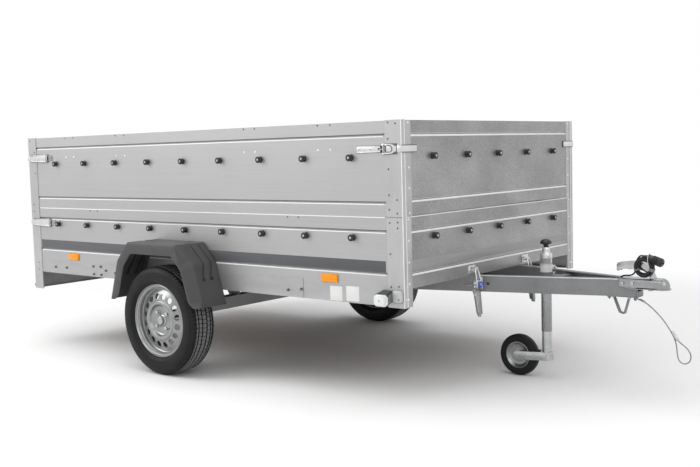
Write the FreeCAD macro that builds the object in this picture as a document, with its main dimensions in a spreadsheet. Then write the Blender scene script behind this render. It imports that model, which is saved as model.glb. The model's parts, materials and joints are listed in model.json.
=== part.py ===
import FreeCAD, Part
import Sketcher
import math
import os
from FreeCAD import Placement, Rotation, Vector

# Utility trailer with a tipping box, one axle, a V drawbar and extension boards.
# X points forwards to the coupling, Y to the left, Z up. The origin lies on the ground
# under the middle of the whole trailer. Lengths along X are first measured from the axle.

DRIVING = (
    ("box_length", 2700, "outer length of the box over its corner posts"),
    ("box_width", 1520, "outer width of the box over its corner posts"),
    ("box_rear", 1310, "rear face of the box behind the wheel centres"),
    ("frame_bottom", 425, "underside of the side rails above the ground"),
    ("frame_height", 75, "height of the side rails"),
    ("rail_sheet", 2.5, "wall of the side rails and cross members"),
    ("rail_flange", 40, "inward flange of the side rails"),
    ("lower_board_height", 298, "height of the lower boards"),
    ("upper_board_height", 402, "from the top of the lower boards to the top edge"),
    ("board_depth", 25, "depth of a folded board"),
    ("board_sheet", 1.5, "wall of a folded board"),
    ("board_hem", 12, "hem that hangs from the inner edge of a board"),
    ("rib_offset", 60, "groove centre from the edge of its board"),
    ("groove_width", 14, "width of a pressed groove"),
    ("groove_depth", 5, "depth of a pressed groove"),
    ("seat_gap", 0.3, "gap between bolted pieces that are modelled just clear"),
    ("swing_gap", 7, "gap beside a board that swings"),
    ("hinge_gap", 8.5, "gap under a board that swings on end pins"),
    ("board_pin_inset", 8, "axis of the end pins from the faces of the board"),
    ("board_pin_radius", 4, "radius of the end pins"),
    ("board_pin_wall", 3, "wall of the tube round an end pin"),
    ("board_pin_reach", 30, "length of an end pin inside its board"),
    ("running_gap", 0.06, "radial gap of a pin in its hole"),
    ("post_sheet", 2.5, "wall of the corner posts"),
    ("front_post_side", 84, "side flange of a front post"),
    ("front_post_strip", 29, "front strip of a front post"),
    ("front_post_return", 26, "return of a front post behind its strip"),
    ("rear_post_side", 78, "side flange of a rear post"),
    ("rear_post_stop", 35, "stop flange of a rear post"),
    ("rear_post_bottom", 324.5, "underside of the rear posts above the ground"),
    ("post_drop", 3, "how far a front post reaches below the rail"),
    ("post_rise", 2, "how far the extension posts stand above the boards"),
    ("face_inset", 2, "end boards behind the outer faces of the posts"),
    ("floor_thickness", 9, "thickness of the plywood floor"),
    ("floor_lift", 25, "height of the flat cross members under the floor"),
    ("hat_width", 60, "width of a flat cross member"),
    ("member_flange", 40, "flange of a deep cross member"),
    ("hat_inset", 90, "front flat cross member behind the front face"),
    ("deep_first", 110, "first deep cross member behind the axle"),
    ("sill_inset", 8, "rear sill ahead of the rear face"),
    ("plate_inset", 565, "front end of the rail plate behind the front face"),
    ("plate_rear", 635, "rear end of the rail plate behind the axle"),
    ("plate_rise", 16, "how far the rail plate laps over the lower board"),
    ("plate_sheet", 2, "thickness of the rail plate"),
    ("wheel_radius", 270, "radius of the road tyre as it stands"),
    ("tyre_width", 155, "width of the road tyre"),
    ("tyre_tread_half", 52, "half width of the flat tread"),
    ("tyre_shoulder_drop", 10, "drop of the shoulder under the tread"),
    ("tyre_wall_radius", 222, "radius at which the tyre is widest"),
    ("tyre_carcass", 14, "wall of the tyre under the tread"),
    ("tyre_bead_half", 52, "half width of the tyre at its bead"),
    ("track_half", 859.5, "wheel centre plane from the middle of the trailer"),
    ("rim_seat_radius", 165, "radius of the bead seat"),
    ("rim_flange_radius", 182.5, "radius of the rim flange"),
    ("rim_seat_half", 54, "half width between the bead seats' outer ends"),
    ("rim_flange_half", 62, "half width over the rim flanges"),
    ("rim_sheet", 4, "wall of the rim"),
    ("rim_well_radius", 158, "inner radius of the rim barrel"),
    ("rim_offset", 30, "mounting face outboard of the wheel centre plane"),
    ("disc_dome_radius", 95, "outer radius of the raised ring of the disc"),
    ("disc_dome_inner", 78, "inner radius of the raised ring of the disc"),
    ("disc_seat_radius", 70, "radius of the flat mounting face"),
    ("disc_dome_height", 26, "height of the raised ring over the mounting face"),
    ("disc_shelf_height", 12, "height of the vented ring over the mounting face"),
    ("disc_bore_radius", 28.5, "centre bore of the disc"),
    ("vent_circle", 121, "radius of the circle of vent holes"),
    ("vent_radius", 10.5, "radius of a vent hole"),
    ("hub_flange_radius", 66, "radius of the hub flange"),
    ("hub_flange_thickness", 12, "thickness of the hub flange"),
    ("hub_body_radius", 42, "radius of the hub body"),
    ("hub_length", 98, "length of the hub behind the mounting face"),
    ("hub_cap_radius", 28, "radius of the hub cap"),
    ("hub_cap_length", 26, "length of the hub cap ahead of the mounting face"),
    ("hub_cap_wall", 8, "end wall of the hub cap"),
    ("hub_end_play", 4, "gap between the stub and the hub cap"),
    ("stub_radius", 17.5, "radius of the stub axle"),
    ("beam_size", 60, "side of the square axle beam"),
    ("beam_ahead", 150, "axle beam ahead of the wheel centres"),
    ("beam_height", 333, "centre of the axle beam above the ground"),
    ("beam_half", 745, "half length of the axle beam"),
    ("arm_thickness", 26, "thickness of a swing arm"),
    ("arm_root_radius", 38, "radius of a swing arm at the beam"),
    ("arm_tip_radius", 30, "radius of a swing arm at the stub"),
    ("saddle_length", 130, "length of an axle saddle plate"),
    ("saddle_plate", 6, "thickness of an axle saddle plate"),
    ("saddle_web", 10, "thickness of an axle saddle web"),
    ("leg_height", 74.6, "height of the drawbar legs"),
    ("leg_sheet", 4, "wall of the drawbar legs"),
    ("leg_flange", 38, "flange of the drawbar legs"),
    ("leg_nose", 2081, "front end of the drawbar legs ahead of the axle"),
    ("leg_nose_half", 27, "outer face of a leg at its front end from the middle"),
    ("leg_rear", 45, "rear end of the drawbar legs behind the axle"),
    ("leg_rear_half", 621, "outer face of a leg at its rear end from the middle"),
    ("pivot_behind", 10, "tipping pivot behind the axle"),
    ("pivot_height", 460, "tipping pivot above the ground"),
    ("pivot_radius", 8, "radius of the tipping pin"),
    ("bush_radius", 15, "outer radius of the bush in a leg"),
    ("bush_length", 46, "length of the bush in a leg"),
    ("bush_over", 15, "how far the bush stands out of the leg's rear end"),
    ("ear_gap", 4, "gap between the bush and the ear of the box"),
    ("ear_thickness", 8, "thickness of an ear of the box"),
    ("ear_radius", 20, "half height of an ear at its pin"),
    ("pin_over", 6, "how far the tipping pin stands out of the ear"),
    ("crossbar_ahead", 1676, "rear face of the crossbar ahead of the axle"),
    ("crossbar_size", 40, "side of the square crossbar"),
    ("crossbar_drop", 12, "top of the crossbar under the top of the legs"),
    ("jockey_ahead", 1617, "jockey tube ahead of the axle"),
    ("jockey_side", 35, "jockey tube left of the middle"),
    ("jockey_tube_radius", 24, "outer radius of the jockey's outer tube"),
    ("jockey_tube_bore", 21.6, "bore of the jockey's outer tube"),
    ("jockey_tube_bottom", 223, "lower end of the outer tube above the ground"),
    ("jockey_tube_top", 563, "top of the outer tube above the ground"),
    ("jockey_collar_radius", 28, "radius of the collar on the outer tube"),
    ("jockey_collar_height", 24, "height of the collar on the outer tube"),
    ("jockey_head_height", 26, "height of the head above the collar"),
    ("jockey_head_radius", 18, "radius of the head above the collar"),
    ("jockey_clamp_radius", 31, "outer radius of the clamp round the tube"),
    ("jockey_clamp_height", 60, "height of the clamp round the tube"),
    ("jockey_inner_wall", 3, "wall of the jockey's inner tube"),
    ("jockey_inner_top", 470, "top of the inner tube above the ground"),
    ("jockey_inner_bottom", 94, "lower end of the inner tube above the ground"),
    ("knob_radius", 27, "radius of the crank knob"),
    ("knob_height", 24, "height of the crank knob"),
    ("knob_stem_radius", 12, "radius of the stem under the crank knob"),
    ("knob_stem_height", 14, "height of the stem under the crank knob"),
    ("jockey_wheel_radius", 97.5, "radius of the jockey wheel"),
    ("jockey_wheel_width", 50, "width of the jockey wheel"),
    ("jockey_rim_radius", 62, "radius of the jockey wheel's rim"),
    ("jockey_trail", 143, "jockey wheel behind its tube"),
    ("fork_plate", 4, "thickness of a fork arm"),
    ("fork_height", 40, "height of a fork arm"),
    ("fork_rise", 10, "how much higher a fork arm is at the tube than at the wheel"),
    ("fork_gap", 3.5, "gap between the jockey wheel and a fork arm"),
    ("fork_axle_radius", 6, "radius of the jockey wheel's axle bolt"),
    ("fork_base", 5, "bottom plate of the fork's crown"),
    ("coupling_ahead", 2180, "ball centre ahead of the axle"),
    ("coupling_height", 472, "ball centre above the ground"),
    ("socket_radius", 25.3, "radius of the ball socket"),
    ("socket_skirt", 13, "straight wall of the socket under the ball centre"),
    ("coupling_wall", 6, "wall of the coupling round its socket"),
    ("coupling_lip", 35, "radius of the lip round the socket's mouth"),
    ("coupling_lip_height", 6, "height of the lip round the socket's mouth"),
    ("coupling_neck_half", 24, "half width of the coupling's neck"),
    ("coupling_clamp_length", 84, "length of the coupling over the legs"),
    ("coupling_clamp_half", 48, "half width of the coupling over the legs"),
    ("coupling_clamp_drop", 44, "how far the coupling's cheeks reach down the legs"),
    ("coupling_sheet", 4, "wall of the coupling over the legs"),
    ("lever_length", 172, "length of the coupling lever"),
    ("lever_width", 30, "width of the coupling lever"),
    ("lever_depth", 30, "depth of the coupling lever's grip"),
    ("lever_height", 572, "grip of the coupling lever above the ground"),
    ("lever_post", 22, "length of the lever's root on the coupling"),
    ("lever_back", 30, "front end of the coupling lever behind the ball centre"),
    ("nose_plate", 5, "thickness of the plate under the nose"),
    ("nose_plate_length", 130, "length of the plate under the nose"),
    ("nose_plate_half", 34, "half width of the plate under the nose"),
    ("lug_inset", 35, "rear face of the cable's lug behind the nose"),
    ("lug_length", 18, "length of the cable's lug"),
    ("lug_width", 16, "width of the cable's lug"),
    ("lug_drop", 13, "how far the cable's lug hangs under the nose plate"),
    ("foot_width", 80, "width of the bent foot at its top"),
    ("foot_drop", 79, "how far the bent foot reaches down"),
    ("foot_bar", 8, "thickness of the bent foot's bar"),
    ("foot_bar_width", 24, "width of the bent foot's bar"),
    ("foot_lean", 5, "how far the foot of the bent bar is ahead of its middle"),
    ("foot_inset", 5, "bent foot ahead of the rear edge of the nose plate"),
    ("mudguard_behind", 10, "middle of a mudguard behind the axle"),
    ("mudguard_length", 666, "length of a mudguard at its feet"),
    ("mudguard_top", 656, "top of a mudguard above the ground"),
    ("mudguard_foot", 358, "feet of a mudguard above the ground"),
    ("mudguard_clear", 6, "gap between the tyre and the outer wall of a mudguard"),
    ("mudguard_sheet", 4, "wall of a mudguard"),
    ("mudguard_lip", 58, "depth of the outer lip of a mudguard"),
    ("mudguard_inner_lip", 26, "depth of the inner lip of a mudguard"),
    ("tail_hinge_out", 14, "tailgate hinge axis behind the rear face"),
    ("tail_hinge_drop", 3, "tailgate hinge axis under the tailgate"),
    ("tail_bottom_gap", 6, "tailgate above the deck level"),
    ("tail_top_gap", 3, "tailgate under the top of the lower boards"),
    ("tail_hinge_pin", 4, "radius of a tailgate hinge pin"),
    ("tail_hinge_knuckle", 8, "outer radius of a tailgate hinge"),
    ("tail_hinge_width", 60, "width of a tailgate hinge"),
    ("tail_hinge_plate", 6, "thickness of a hinge side plate"),
    ("tail_hinge_strap", 54, "height of a hinge strap on the tailgate"),
    ("tail_hinge_pitch", 560, "pitch of the tailgate hinges"),
    ("strap_sheet", 3, "thickness of hinge straps and keepers"),
    ("panel_height", 98, "height of the rear lamp panel"),
    ("panel_sheet", 2, "wall of the rear lamp panel"),
    ("panel_lip", 18, "forward lip of the rear lamp panel"),
    ("lamp_width", 220, "width of a rear lamp"),
    ("lamp_height", 80, "height of a rear lamp"),
    ("lamp_depth", 24, "depth of a rear lamp"),
    ("lamp_edge", 20, "gap between a rear lamp and the buffer beside it"),
    ("buffer_radius", 13, "radius of a rubber buffer"),
    ("buffer_length", 30, "length of a rubber buffer"),
    ("buffer_inset", 17, "rubber buffer from the side of the box"),
    ("buffer_height", 341, "rubber buffer above the ground"),
    ("reflector_length", 97, "length of a side reflector"),
    ("reflector_height", 38, "height of a side reflector"),
    ("reflector_depth", 8, "depth of a side reflector"),
    ("reflector_front", 456, "rear end of the front side reflector behind the front face"),
    ("reflector_rear", 347, "rear end of the rear side reflector ahead of the rear face"),
    ("reflector_bottom", 507, "lower edge of a side reflector above the ground"),
    ("marker_length", 56, "length of a front position lamp"),
    ("marker_height", 50, "height of a front position lamp"),
    ("marker_width", 30, "width of a front position lamp"),
    ("marker_inset", 106, "rear end of a front position lamp behind the front face"),
    ("marker_out", 44, "front position lamp out from the side of the box"),
    ("marker_bottom", 434, "lower edge of a front position lamp above the ground"),
    ("marker_arm", 22, "thickness of the rubber arm of a position lamp"),
    ("rope_knob_radius", 15, "radius of a rope knob"),
    ("rope_knob_height", 23, "height of a rope knob"),
    ("rope_knob_upper", 1050, "upper row of rope knobs above the ground"),
    ("rope_knob_lower", 709, "lower row of rope knobs above the ground"),
    ("side_knob_rear", 278.5, "first side rope knob ahead of the rear face"),
    ("side_knob_front", 263, "last side rope knob behind the front face"),
    ("end_knob_inset", 226, "outer rope knobs of the ends from the sides of the box"),
    ("latch_height", 27, "height of a latch's strap"),
    ("latch_body_height", 44, "height of a latch's lever"),
    ("latch_body_length", 76, "length of a latch's lever"),
    ("latch_body_depth", 12, "depth of a latch's lever"),
    ("latch_strap_length", 137, "length of a latch's strap"),
    ("latch_upper", 1083, "centre of the upper latches above the ground"),
    ("latch_lower", 715, "centre of the lower latches above the ground"),
    ("keeper_height", 25, "height of a keeper"),
    ("keeper_length", 108, "length of a keeper across the corner"),
    ("keeper_tab", 20, "length of a keeper round the corner"),
    ("keeper_gap", 2, "gap between a keeper's end and the latch lever"),
    ("clamp_side", 230, "tipping clamp from the middle"),
    ("clamp_out", 27, "tipping clamp ahead of the front face"),
    ("clamp_width", 34, "width of a tipping clamp"),
    ("clamp_plate", 5, "plate thickness of a tipping clamp"),
    ("clamp_depth", 30, "how far a tipping clamp stands out from its leg"),
    ("clamp_bottom", 318, "end of a clamp lever above the ground"),
    ("clamp_lever_width", 22, "width of a clamp lever"),
    ("clamp_lever_plate", 6, "thickness of a clamp lever"),
    ("clamp_keeper_top", 548, "top of a clamp's bracket on the front board"),
    ("clamp_keeper_bottom", 514, "underside of a clamp's bracket on the front board"),
    ("clamp_keeper_reach", 26, "how far the bracket stands out of the front board"),
    ("clip_radius", 14, "radius of the coloured clip"),
    ("clip_thickness", 6, "thickness of the coloured clip"),
    ("cable_radius", 2.6, "radius of the steel safety cable"),
    ("route_step", 1, "step in which the points of the cord routes are counted"),
    ("lead_radius", 3.5, "radius of the electric lead"),
    ("hank_radius", 35, "radius of the hank of lead at the middle of its turns"),
    ("hank_section", 11, "radius of the bundle of lead in the hank"),
    ("hank_height", 555, "centre of the hank above the ground"),
    ("hank_side", 31, "hank right of the middle"),
    ("hank_back", 67, "centre of the hank behind the ball centre"),
    ("plug_radius", 19, "radius of the plug"),
    ("plug_length", 86, "length of the plug"),
    ("plug_nose", 14, "length of the narrower end of the plug"),
)

SIDE_KNOBS = 9
END_KNOBS = 5
VENTS = 16
TAIL_HINGES = 3
FRONT_HATS = 3
DEEP_MEMBERS = 2
FULL_TURN = 360
MUDGUARD_KINK_SHARES = (0.403, 0.678)
MUDGUARD_TOP_SHARE = 0.274
ARM_WAIST_SHARE = 0.85


class Size:
    """A length worked out from the sheet: its value now and its formula there."""

    def __init__(self, value, text):
        self.value = float(value)
        self.text = text

    def joined(self, sign, other, value, flip=False):
        words = other.text if isinstance(other, Size) else repr(other)
        first, last = (words, self.text) if flip else (self.text, words)
        return Size(value, "(" + first + " " + sign + " " + last + ")")

    def __add__(self, other):
        return self.joined("+", other, self.value + plain(other))

    def __radd__(self, other):
        return self.joined("+", other, self.value + plain(other), True)

    def __sub__(self, other):
        return self.joined("-", other, self.value - plain(other))

    def __rsub__(self, other):
        return self.joined("-", other, plain(other) - self.value, True)

    def __mul__(self, other):
        return self.joined("*", other, self.value * plain(other))

    def __rmul__(self, other):
        return self.joined("*", other, self.value * plain(other), True)

    def __truediv__(self, other):
        return self.joined("/", other, self.value / plain(other))

    def __neg__(self):
        return Size(-self.value, "(0 - " + self.text + ")")


def plain(size):
    """The number behind a size."""
    return size.value if isinstance(size, Size) else float(size)


class Sheet:
    """The spreadsheet of driving sizes, each cell read as an attribute."""

    def __init__(self, document):
        self.sheet = document.addObject("Spreadsheet::Sheet", "Sizes")
        for row, (alias, value, words) in enumerate(DRIVING, 1):
            self.sheet.set("A" + str(row), words)
            self.sheet.set("B" + str(row), str(value))
            self.sheet.setAlias("B" + str(row), alias)
            setattr(self, alias, Size(value, "Sizes." + alias))


doc = FreeCAD.newDocument("UtilityTrailer")
S = Sheet(doc)
doc.recompute()

ZERO = Size(0, "0")
NODES = []
PLAN = Rotation()
SIDE = Rotation(Vector(1, 0, 0), 90)
END = Rotation(Vector(1, 1, 1), 120)
ALONG_Y = Rotation(Vector(1, 0, 0), -90)
ALONG_X = Rotation(Vector(0, 1, 0), 90)
UPRIGHT = Rotation()

# Levels and faces that several pieces share
deck = S.frame_bottom + S.frame_height
joint = deck + S.lower_board_height
top = joint + S.upper_board_height
half = S.box_width / 2
skin = half - S.post_sheet
inside = skin - S.board_depth
front = S.box_length - S.box_rear
rear = -S.box_rear
end_face = front - S.face_inset
side_front = end_face - S.board_depth - S.seat_gap
stop = rear + S.face_inset + S.board_depth + S.swing_gap
side_rear = stop + S.post_sheet + S.seat_gap
floor_under = deck + S.floor_lift
leg_top = S.frame_bottom + S.leg_height
hinge_rear = rear - S.tail_hinge_out
reach_front = S.coupling_ahead + S.coupling_lip
reach_rear = S.tail_hinge_knuckle - hinge_rear
bush_outer = S.leg_rear_half + S.bush_over
shift = (reach_front - reach_rear) / 2


def name(thing, label, node=False):
    """Gives an object its label and, for a finished piece, a place in the list."""
    thing.Label = label
    if node:
        NODES.append(thing)
    return thing


def place(thing, x, y, z, turn=PLAN):
    """Puts an object at sizes measured from the axle and turns it."""
    along = x - shift
    thing.Placement = Placement(Vector(along.value, plain(y), plain(z)), turn)
    thing.setExpression(".Placement.Base.x", along.text)
    for letter, size in (("y", y), ("z", z)):
        if isinstance(size, Size):
            thing.setExpression(".Placement.Base." + letter, size.text)
    return thing


def bind(thing, **sizes):
    """Sets properties to sizes and ties them to the sheet."""
    for key, size in sizes.items():
        setattr(thing, key, size.value)
        thing.setExpression(key, size.text)
    return thing


def block(label, x, y, z, length, width, height, node=False):
    """A plain block from its lowest corner."""
    made = bind(doc.addObject("Part::Box", label), Length=length, Width=width, Height=height)
    return name(place(made, x, y, z), label, node)


def rod(label, x, y, z, radius, length, turn, node=False):
    """A cylinder that starts at a point and runs along one axis."""
    made = bind(doc.addObject("Part::Cylinder", label), Radius=radius, Height=length)
    return name(place(made, x, y, z, turn), label, node)


def new_body(label, x, y, z, turn, node=False):
    """An empty body at its place."""
    return name(place(doc.addObject("PartDesign::Body", label), x, y, z, turn), label, node)


def outline(body, label, points, lift=None):
    """A closed sketch of straight lines, each corner tied to the sheet."""
    plane = next(f for f in body.Origin.OriginFeatures if f.Role == "XY_Plane")
    sketch = body.newObject("Sketcher::SketchObject", label)
    sketch.AttachmentSupport = (plane, [""])
    sketch.MapMode = "FlatFace"
    if lift is not None:
        sketch.setExpression(".AttachmentOffset.Base.z", lift.text)
    corners = [Vector(plain(u), plain(v), 0) for u, v in points]
    count = len(corners)
    lines = [Part.LineSegment(corners[i], corners[(i + 1) % count]) for i in range(count)]
    sketch.addGeometry(lines, False)
    ties = [Sketcher.Constraint("Coincident", i, 2, (i + 1) % count, 1) for i in range(count)]
    formulas = []
    for i, pair in enumerate(points):
        for kind, axis, size in (("DistanceX", -2, pair[0]), ("DistanceY", -1, pair[1])):
            value = plain(size)
            if value == 0:
                ties.append(Sketcher.Constraint("PointOnObject", i, 1, axis))
            elif value > 0:
                ties.append(Sketcher.Constraint(kind, -1, 1, i, 1, value))
                formulas.append((len(ties) - 1, size.text))
            else:
                ties.append(Sketcher.Constraint(kind, i, 1, -1, 1, -value))
                formulas.append((len(ties) - 1, (-size).text))
    sketch.addConstraint(ties)
    for index, text in formulas:
        sketch.setExpression("Constraints[" + str(index) + "]", text)
    return sketch


def pad(body, sketch, length, label):
    """Raises a sketch by a length."""
    feature = body.newObject("PartDesign::Pad", label)
    feature.Profile = sketch
    sketch.Visibility = False
    return bind(feature, Length=length)


def padded(label, points, length, x, y, z, turn, node=False):
    """A body made of one outline raised by a length."""
    body = new_body(label, x, y, z, turn, node)
    pad(body, outline(body, label + "_outline", points), length, label + "_pad")
    return body


def turned(label, points, x, y, z, turn=PLAN, node=False):
    """A body made of one outline turned about its upright axis."""
    body = new_body(label, x, y, z, turn, node)
    sketch = outline(body, label + "_outline", points)
    feature = body.newObject("PartDesign::Revolution", label + "_turn")
    feature.Profile = sketch
    feature.ReferenceAxis = (sketch, ["V_Axis"])
    feature.Angle = FULL_TURN
    return body


def fused(label, pieces, node=False):
    """Several overlapping or touching pieces as one."""
    made = doc.addObject("Part::MultiFuse", label)
    made.Shapes = pieces
    return name(made, label, node)


def cut(label, base, tool, node=False):
    """One piece less another."""
    made = doc.addObject("Part::Cut", label)
    made.Base = base
    made.Tool = tool
    return name(made, label, node)


def mirrored(label, piece, node=False):
    """The same piece on the other side of the trailer."""
    made = doc.addObject("Part::Mirroring", label)
    made.Source = piece
    made.Normal = Vector(0, 1, 0)
    made.Base = Vector(0, 0, 0)
    return name(made, label, node)


def grouped(label, pieces, node=True):
    """Like pieces that share a node and don't touch."""
    made = doc.addObject("Part::Compound", label)
    made.Links = pieces
    return name(made, label, node)


def both_sides(label, piece):
    """A node of one piece and its mirror image."""
    return grouped(label, [piece, mirrored(label + "_mirror", piece)])


# Folded boards


def board_profile(height):
    """The folded section of a board: u runs inwards from its face, v up."""
    deep, wall, dent = S.board_depth, S.board_sheet, S.groove_depth
    low, high = S.rib_offset, height - S.rib_offset
    reach = S.groove_width / 2
    floor = reach - dent / 2
    outer = [(deep, ZERO), (ZERO, ZERO)]
    inner = [(deep, wall), (wall, wall)]
    for centre in (low, high):
        outer += [(ZERO, centre - reach), (dent, centre - floor), (dent, centre + floor), (ZERO, centre + reach)]
        inner += [(wall, centre - reach), (dent + wall, centre - floor)]
        inner += [(dent + wall, centre + floor), (wall, centre + reach)]
    outer += [(ZERO, height), (deep, height), (deep, height - S.board_hem)]
    inner += [(wall, height - wall), (deep - wall, height - wall), (deep - wall, height - S.board_hem)]
    return outer + inner[::-1]


def side_boards():
    """Lower and upper boards of both sides."""
    length = side_front - side_rear
    for which, bottom, height in (
        ("lower", deck, S.lower_board_height),
        ("upper", joint, S.upper_board_height),
    ):
        made = padded(
            "side_board_" + which + "_right", board_profile(height), length, side_rear, -skin, bottom, END, True
        )
        mirrored("side_board_" + which + "_left", made, True)


def end_profile(height, facing):
    """The section of a board that faces forwards (-1) or back (1)."""
    return [(u * facing, v) for u, v in board_profile(height)]


def pin_tube(label, axis_x, axis_z, outer_end):
    """The tube inside a swinging board that turns on an end pin."""
    outer = S.board_pin_radius + S.board_pin_wall
    y = outer_end - S.board_pin_reach
    return (
        rod(label, axis_x, y, axis_z, outer, S.board_pin_reach, ALONG_Y),
        rod(label + "_bore", axis_x, y, axis_z, S.board_pin_radius + S.running_gap, S.board_pin_reach, ALONG_Y),
    )


def keeper(label, face, facing, level, reach):
    """A strap on an end board that wraps round the corner post, on the left."""
    sheet = S.strap_sheet
    outer = half + S.seat_gap
    over = outer + sheet
    near = over - reach
    x_face = face if facing < 0 else face - sheet
    low = level - S.keeper_height / 2
    strap = block(label + "_strap", x_face, near, low, sheet, over - near, S.keeper_height)
    tab_x = x_face - S.keeper_tab if facing < 0 else x_face
    tab = block(label + "_tab", tab_x, outer, low, S.keeper_tab + sheet, sheet, S.keeper_height)
    return fused(label, [strap, tab])


def swinging_board(label, facing, height, bottom, half_width, levels, stand_off):
    """An upper end board with its end tubes and keepers, or the tailgate."""
    face = end_face if facing < 0 else rear + S.face_inset
    plate = padded(label + "_sheet", end_profile(height, facing), half_width * 2, face, half_width, bottom, SIDE)
    pieces = [plate]
    for number, level in enumerate(levels):
        piece = keeper(label + "_keeper" + str(number), face + stand_off * -facing, facing, level, S.keeper_length)
        spacer_x = face if facing < 0 else face - stand_off
        spacer = block(
            label + "_rivet" + str(number), spacer_x, half_width - S.keeper_height, level - S.keeper_height / 2,
            stand_off, S.keeper_height - S.seat_gap, S.keeper_height,
        )
        both = fused(label + "_strap" + str(number), [piece, spacer])
        pieces += [both, mirrored(label + "_strap_mirror" + str(number), both)]
    return pieces


def upper_end_board(label, facing, half_width):
    """An upper board that swings outwards on pins at its lower corners."""
    bottom = joint + S.hinge_gap
    stand_off = S.face_inset + S.seat_gap
    pieces = swinging_board(label, facing, top - bottom, bottom, half_width, [S.latch_upper], stand_off)
    face = end_face if facing < 0 else rear + S.face_inset
    axis_x = face + S.board_pin_inset * facing
    tube, bore = pin_tube(label + "_tube", axis_x, bottom + S.board_pin_inset, half_width)
    solid = fused(label + "_solid", pieces + [tube, mirrored(label + "_tube_mirror", tube)])
    bores = grouped(label + "_bores", [bore, mirrored(label + "_bore_mirror", bore)], False)
    return cut(label, solid, bores, True)


def tailgate():
    """The lower rear board on three hinges that stand out behind it."""
    bottom = deck + S.tail_bottom_gap
    height = joint - S.tail_top_gap - bottom
    stand_off = S.face_inset + S.seat_gap
    pieces = swinging_board("tailgate", 1, height, bottom, skin - S.swing_gap, [S.latch_lower], stand_off)
    face = rear + S.face_inset
    axis_z = bottom - S.tail_hinge_drop
    bores = []
    for number in range(TAIL_HINGES):
        side = S.tail_hinge_pitch * (number - (TAIL_HINGES - 1) / 2) - S.tail_hinge_width / 2
        tag = "tail_hinge" + str(number)
        pieces.append(rod(tag, hinge_rear, side, axis_z, S.tail_hinge_knuckle, S.tail_hinge_width, ALONG_Y))
        pieces.append(
            block(tag + "_link", hinge_rear, side, axis_z, face - hinge_rear, S.tail_hinge_width, S.tail_hinge_knuckle)
        )
        strap_height = S.tail_hinge_strap + S.tail_hinge_drop
        pieces.append(
            block(tag + "_strap", face - S.strap_sheet, side, axis_z, S.strap_sheet, S.tail_hinge_width, strap_height)
        )
        bore = S.tail_hinge_pin + S.running_gap
        bores.append(rod(tag + "_bore", hinge_rear, side, axis_z, bore, S.tail_hinge_width, ALONG_Y))
    return cut("tailgate", fused("tailgate_solid", pieces), grouped("tailgate_bores", bores, False), True)


def tailgate_hinge_plates():
    """Pins and side plates on the rear sill that carry the tailgate."""
    made = []
    axis_z = deck + S.tail_bottom_gap - S.tail_hinge_drop
    sill_face = rear + S.sill_inset
    gap = S.seat_gap * 2
    for number in range(TAIL_HINGES):
        side = S.tail_hinge_pitch * (number - (TAIL_HINGES - 1) / 2)
        reach = S.tail_hinge_width / 2 + gap + S.tail_hinge_plate
        tag = "hinge_plate" + str(number)
        pieces = [rod(tag + "_pin", hinge_rear, side - reach, axis_z, S.tail_hinge_pin, reach * 2, ALONG_Y)]
        for sign, word in ((1, "a"), (-1, "b")):
            inner = side + sign * (reach - S.tail_hinge_plate / 2) - S.tail_hinge_plate / 2
            pieces.append(
                rod(tag + word, hinge_rear, inner, axis_z, S.tail_hinge_knuckle, S.tail_hinge_plate, ALONG_Y)
            )
            low = deck - S.tail_hinge_width / 2
            tip = hinge_rear
            plate = padded(
                tag + word + "_plate",
                [
                    (ZERO, axis_z - S.tail_hinge_knuckle - low),
                    (sill_face - tip, ZERO),
                    (sill_face - tip, deck - low),
                    (sill_face - tip - S.tail_hinge_knuckle, axis_z - low),
                    (ZERO, axis_z - low + S.tail_hinge_pin / 2),
                ],
                S.tail_hinge_plate, tip, inner + S.tail_hinge_plate, low, SIDE,
            )
            pieces.append(plate)
        made.append(fused(tag, pieces))
    return grouped("tailgate_hinges", made)


def front_board_lower():
    """The fixed lower front board between the front posts."""
    half_width = half - S.front_post_strip - S.seat_gap
    padded(
        "front_board_lower", end_profile(S.lower_board_height, -1), half_width * 2, end_face, half_width, deck,
        SIDE, True,
    )


# Corner posts


def front_post_profile():
    """The folded section of a front post on the right, from its corner."""
    wall = S.post_sheet
    side, strip, back = S.front_post_side, S.front_post_strip, S.front_post_return
    return [
        (-side, ZERO), (ZERO, ZERO), (ZERO, strip), (-back, strip),
        (-back, strip - wall), (-wall, strip - wall), (-wall, wall), (-side, wall),
    ]


def rear_post_profile():
    """The folded section of a rear post on the right, from its corner."""
    wall = S.post_sheet
    at = stop - rear
    return [
        (ZERO, ZERO), (S.rear_post_side, ZERO), (S.rear_post_side, wall), (at + wall, wall),
        (at + wall, S.rear_post_stop), (at, S.rear_post_stop), (at, wall), (ZERO, wall),
    ]


def posts():
    """Lower posts at each corner."""
    low = S.frame_bottom - S.post_drop
    for end, profile, x, bottom in (
        ("front", front_post_profile(), front, low),
        ("rear", rear_post_profile(), rear, S.rear_post_bottom),
    ):
        made = padded("post_" + end + "_right", profile, joint - bottom, x, -half, bottom, PLAN, True)
        mirrored("post_" + end + "_left", made, True)


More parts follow.
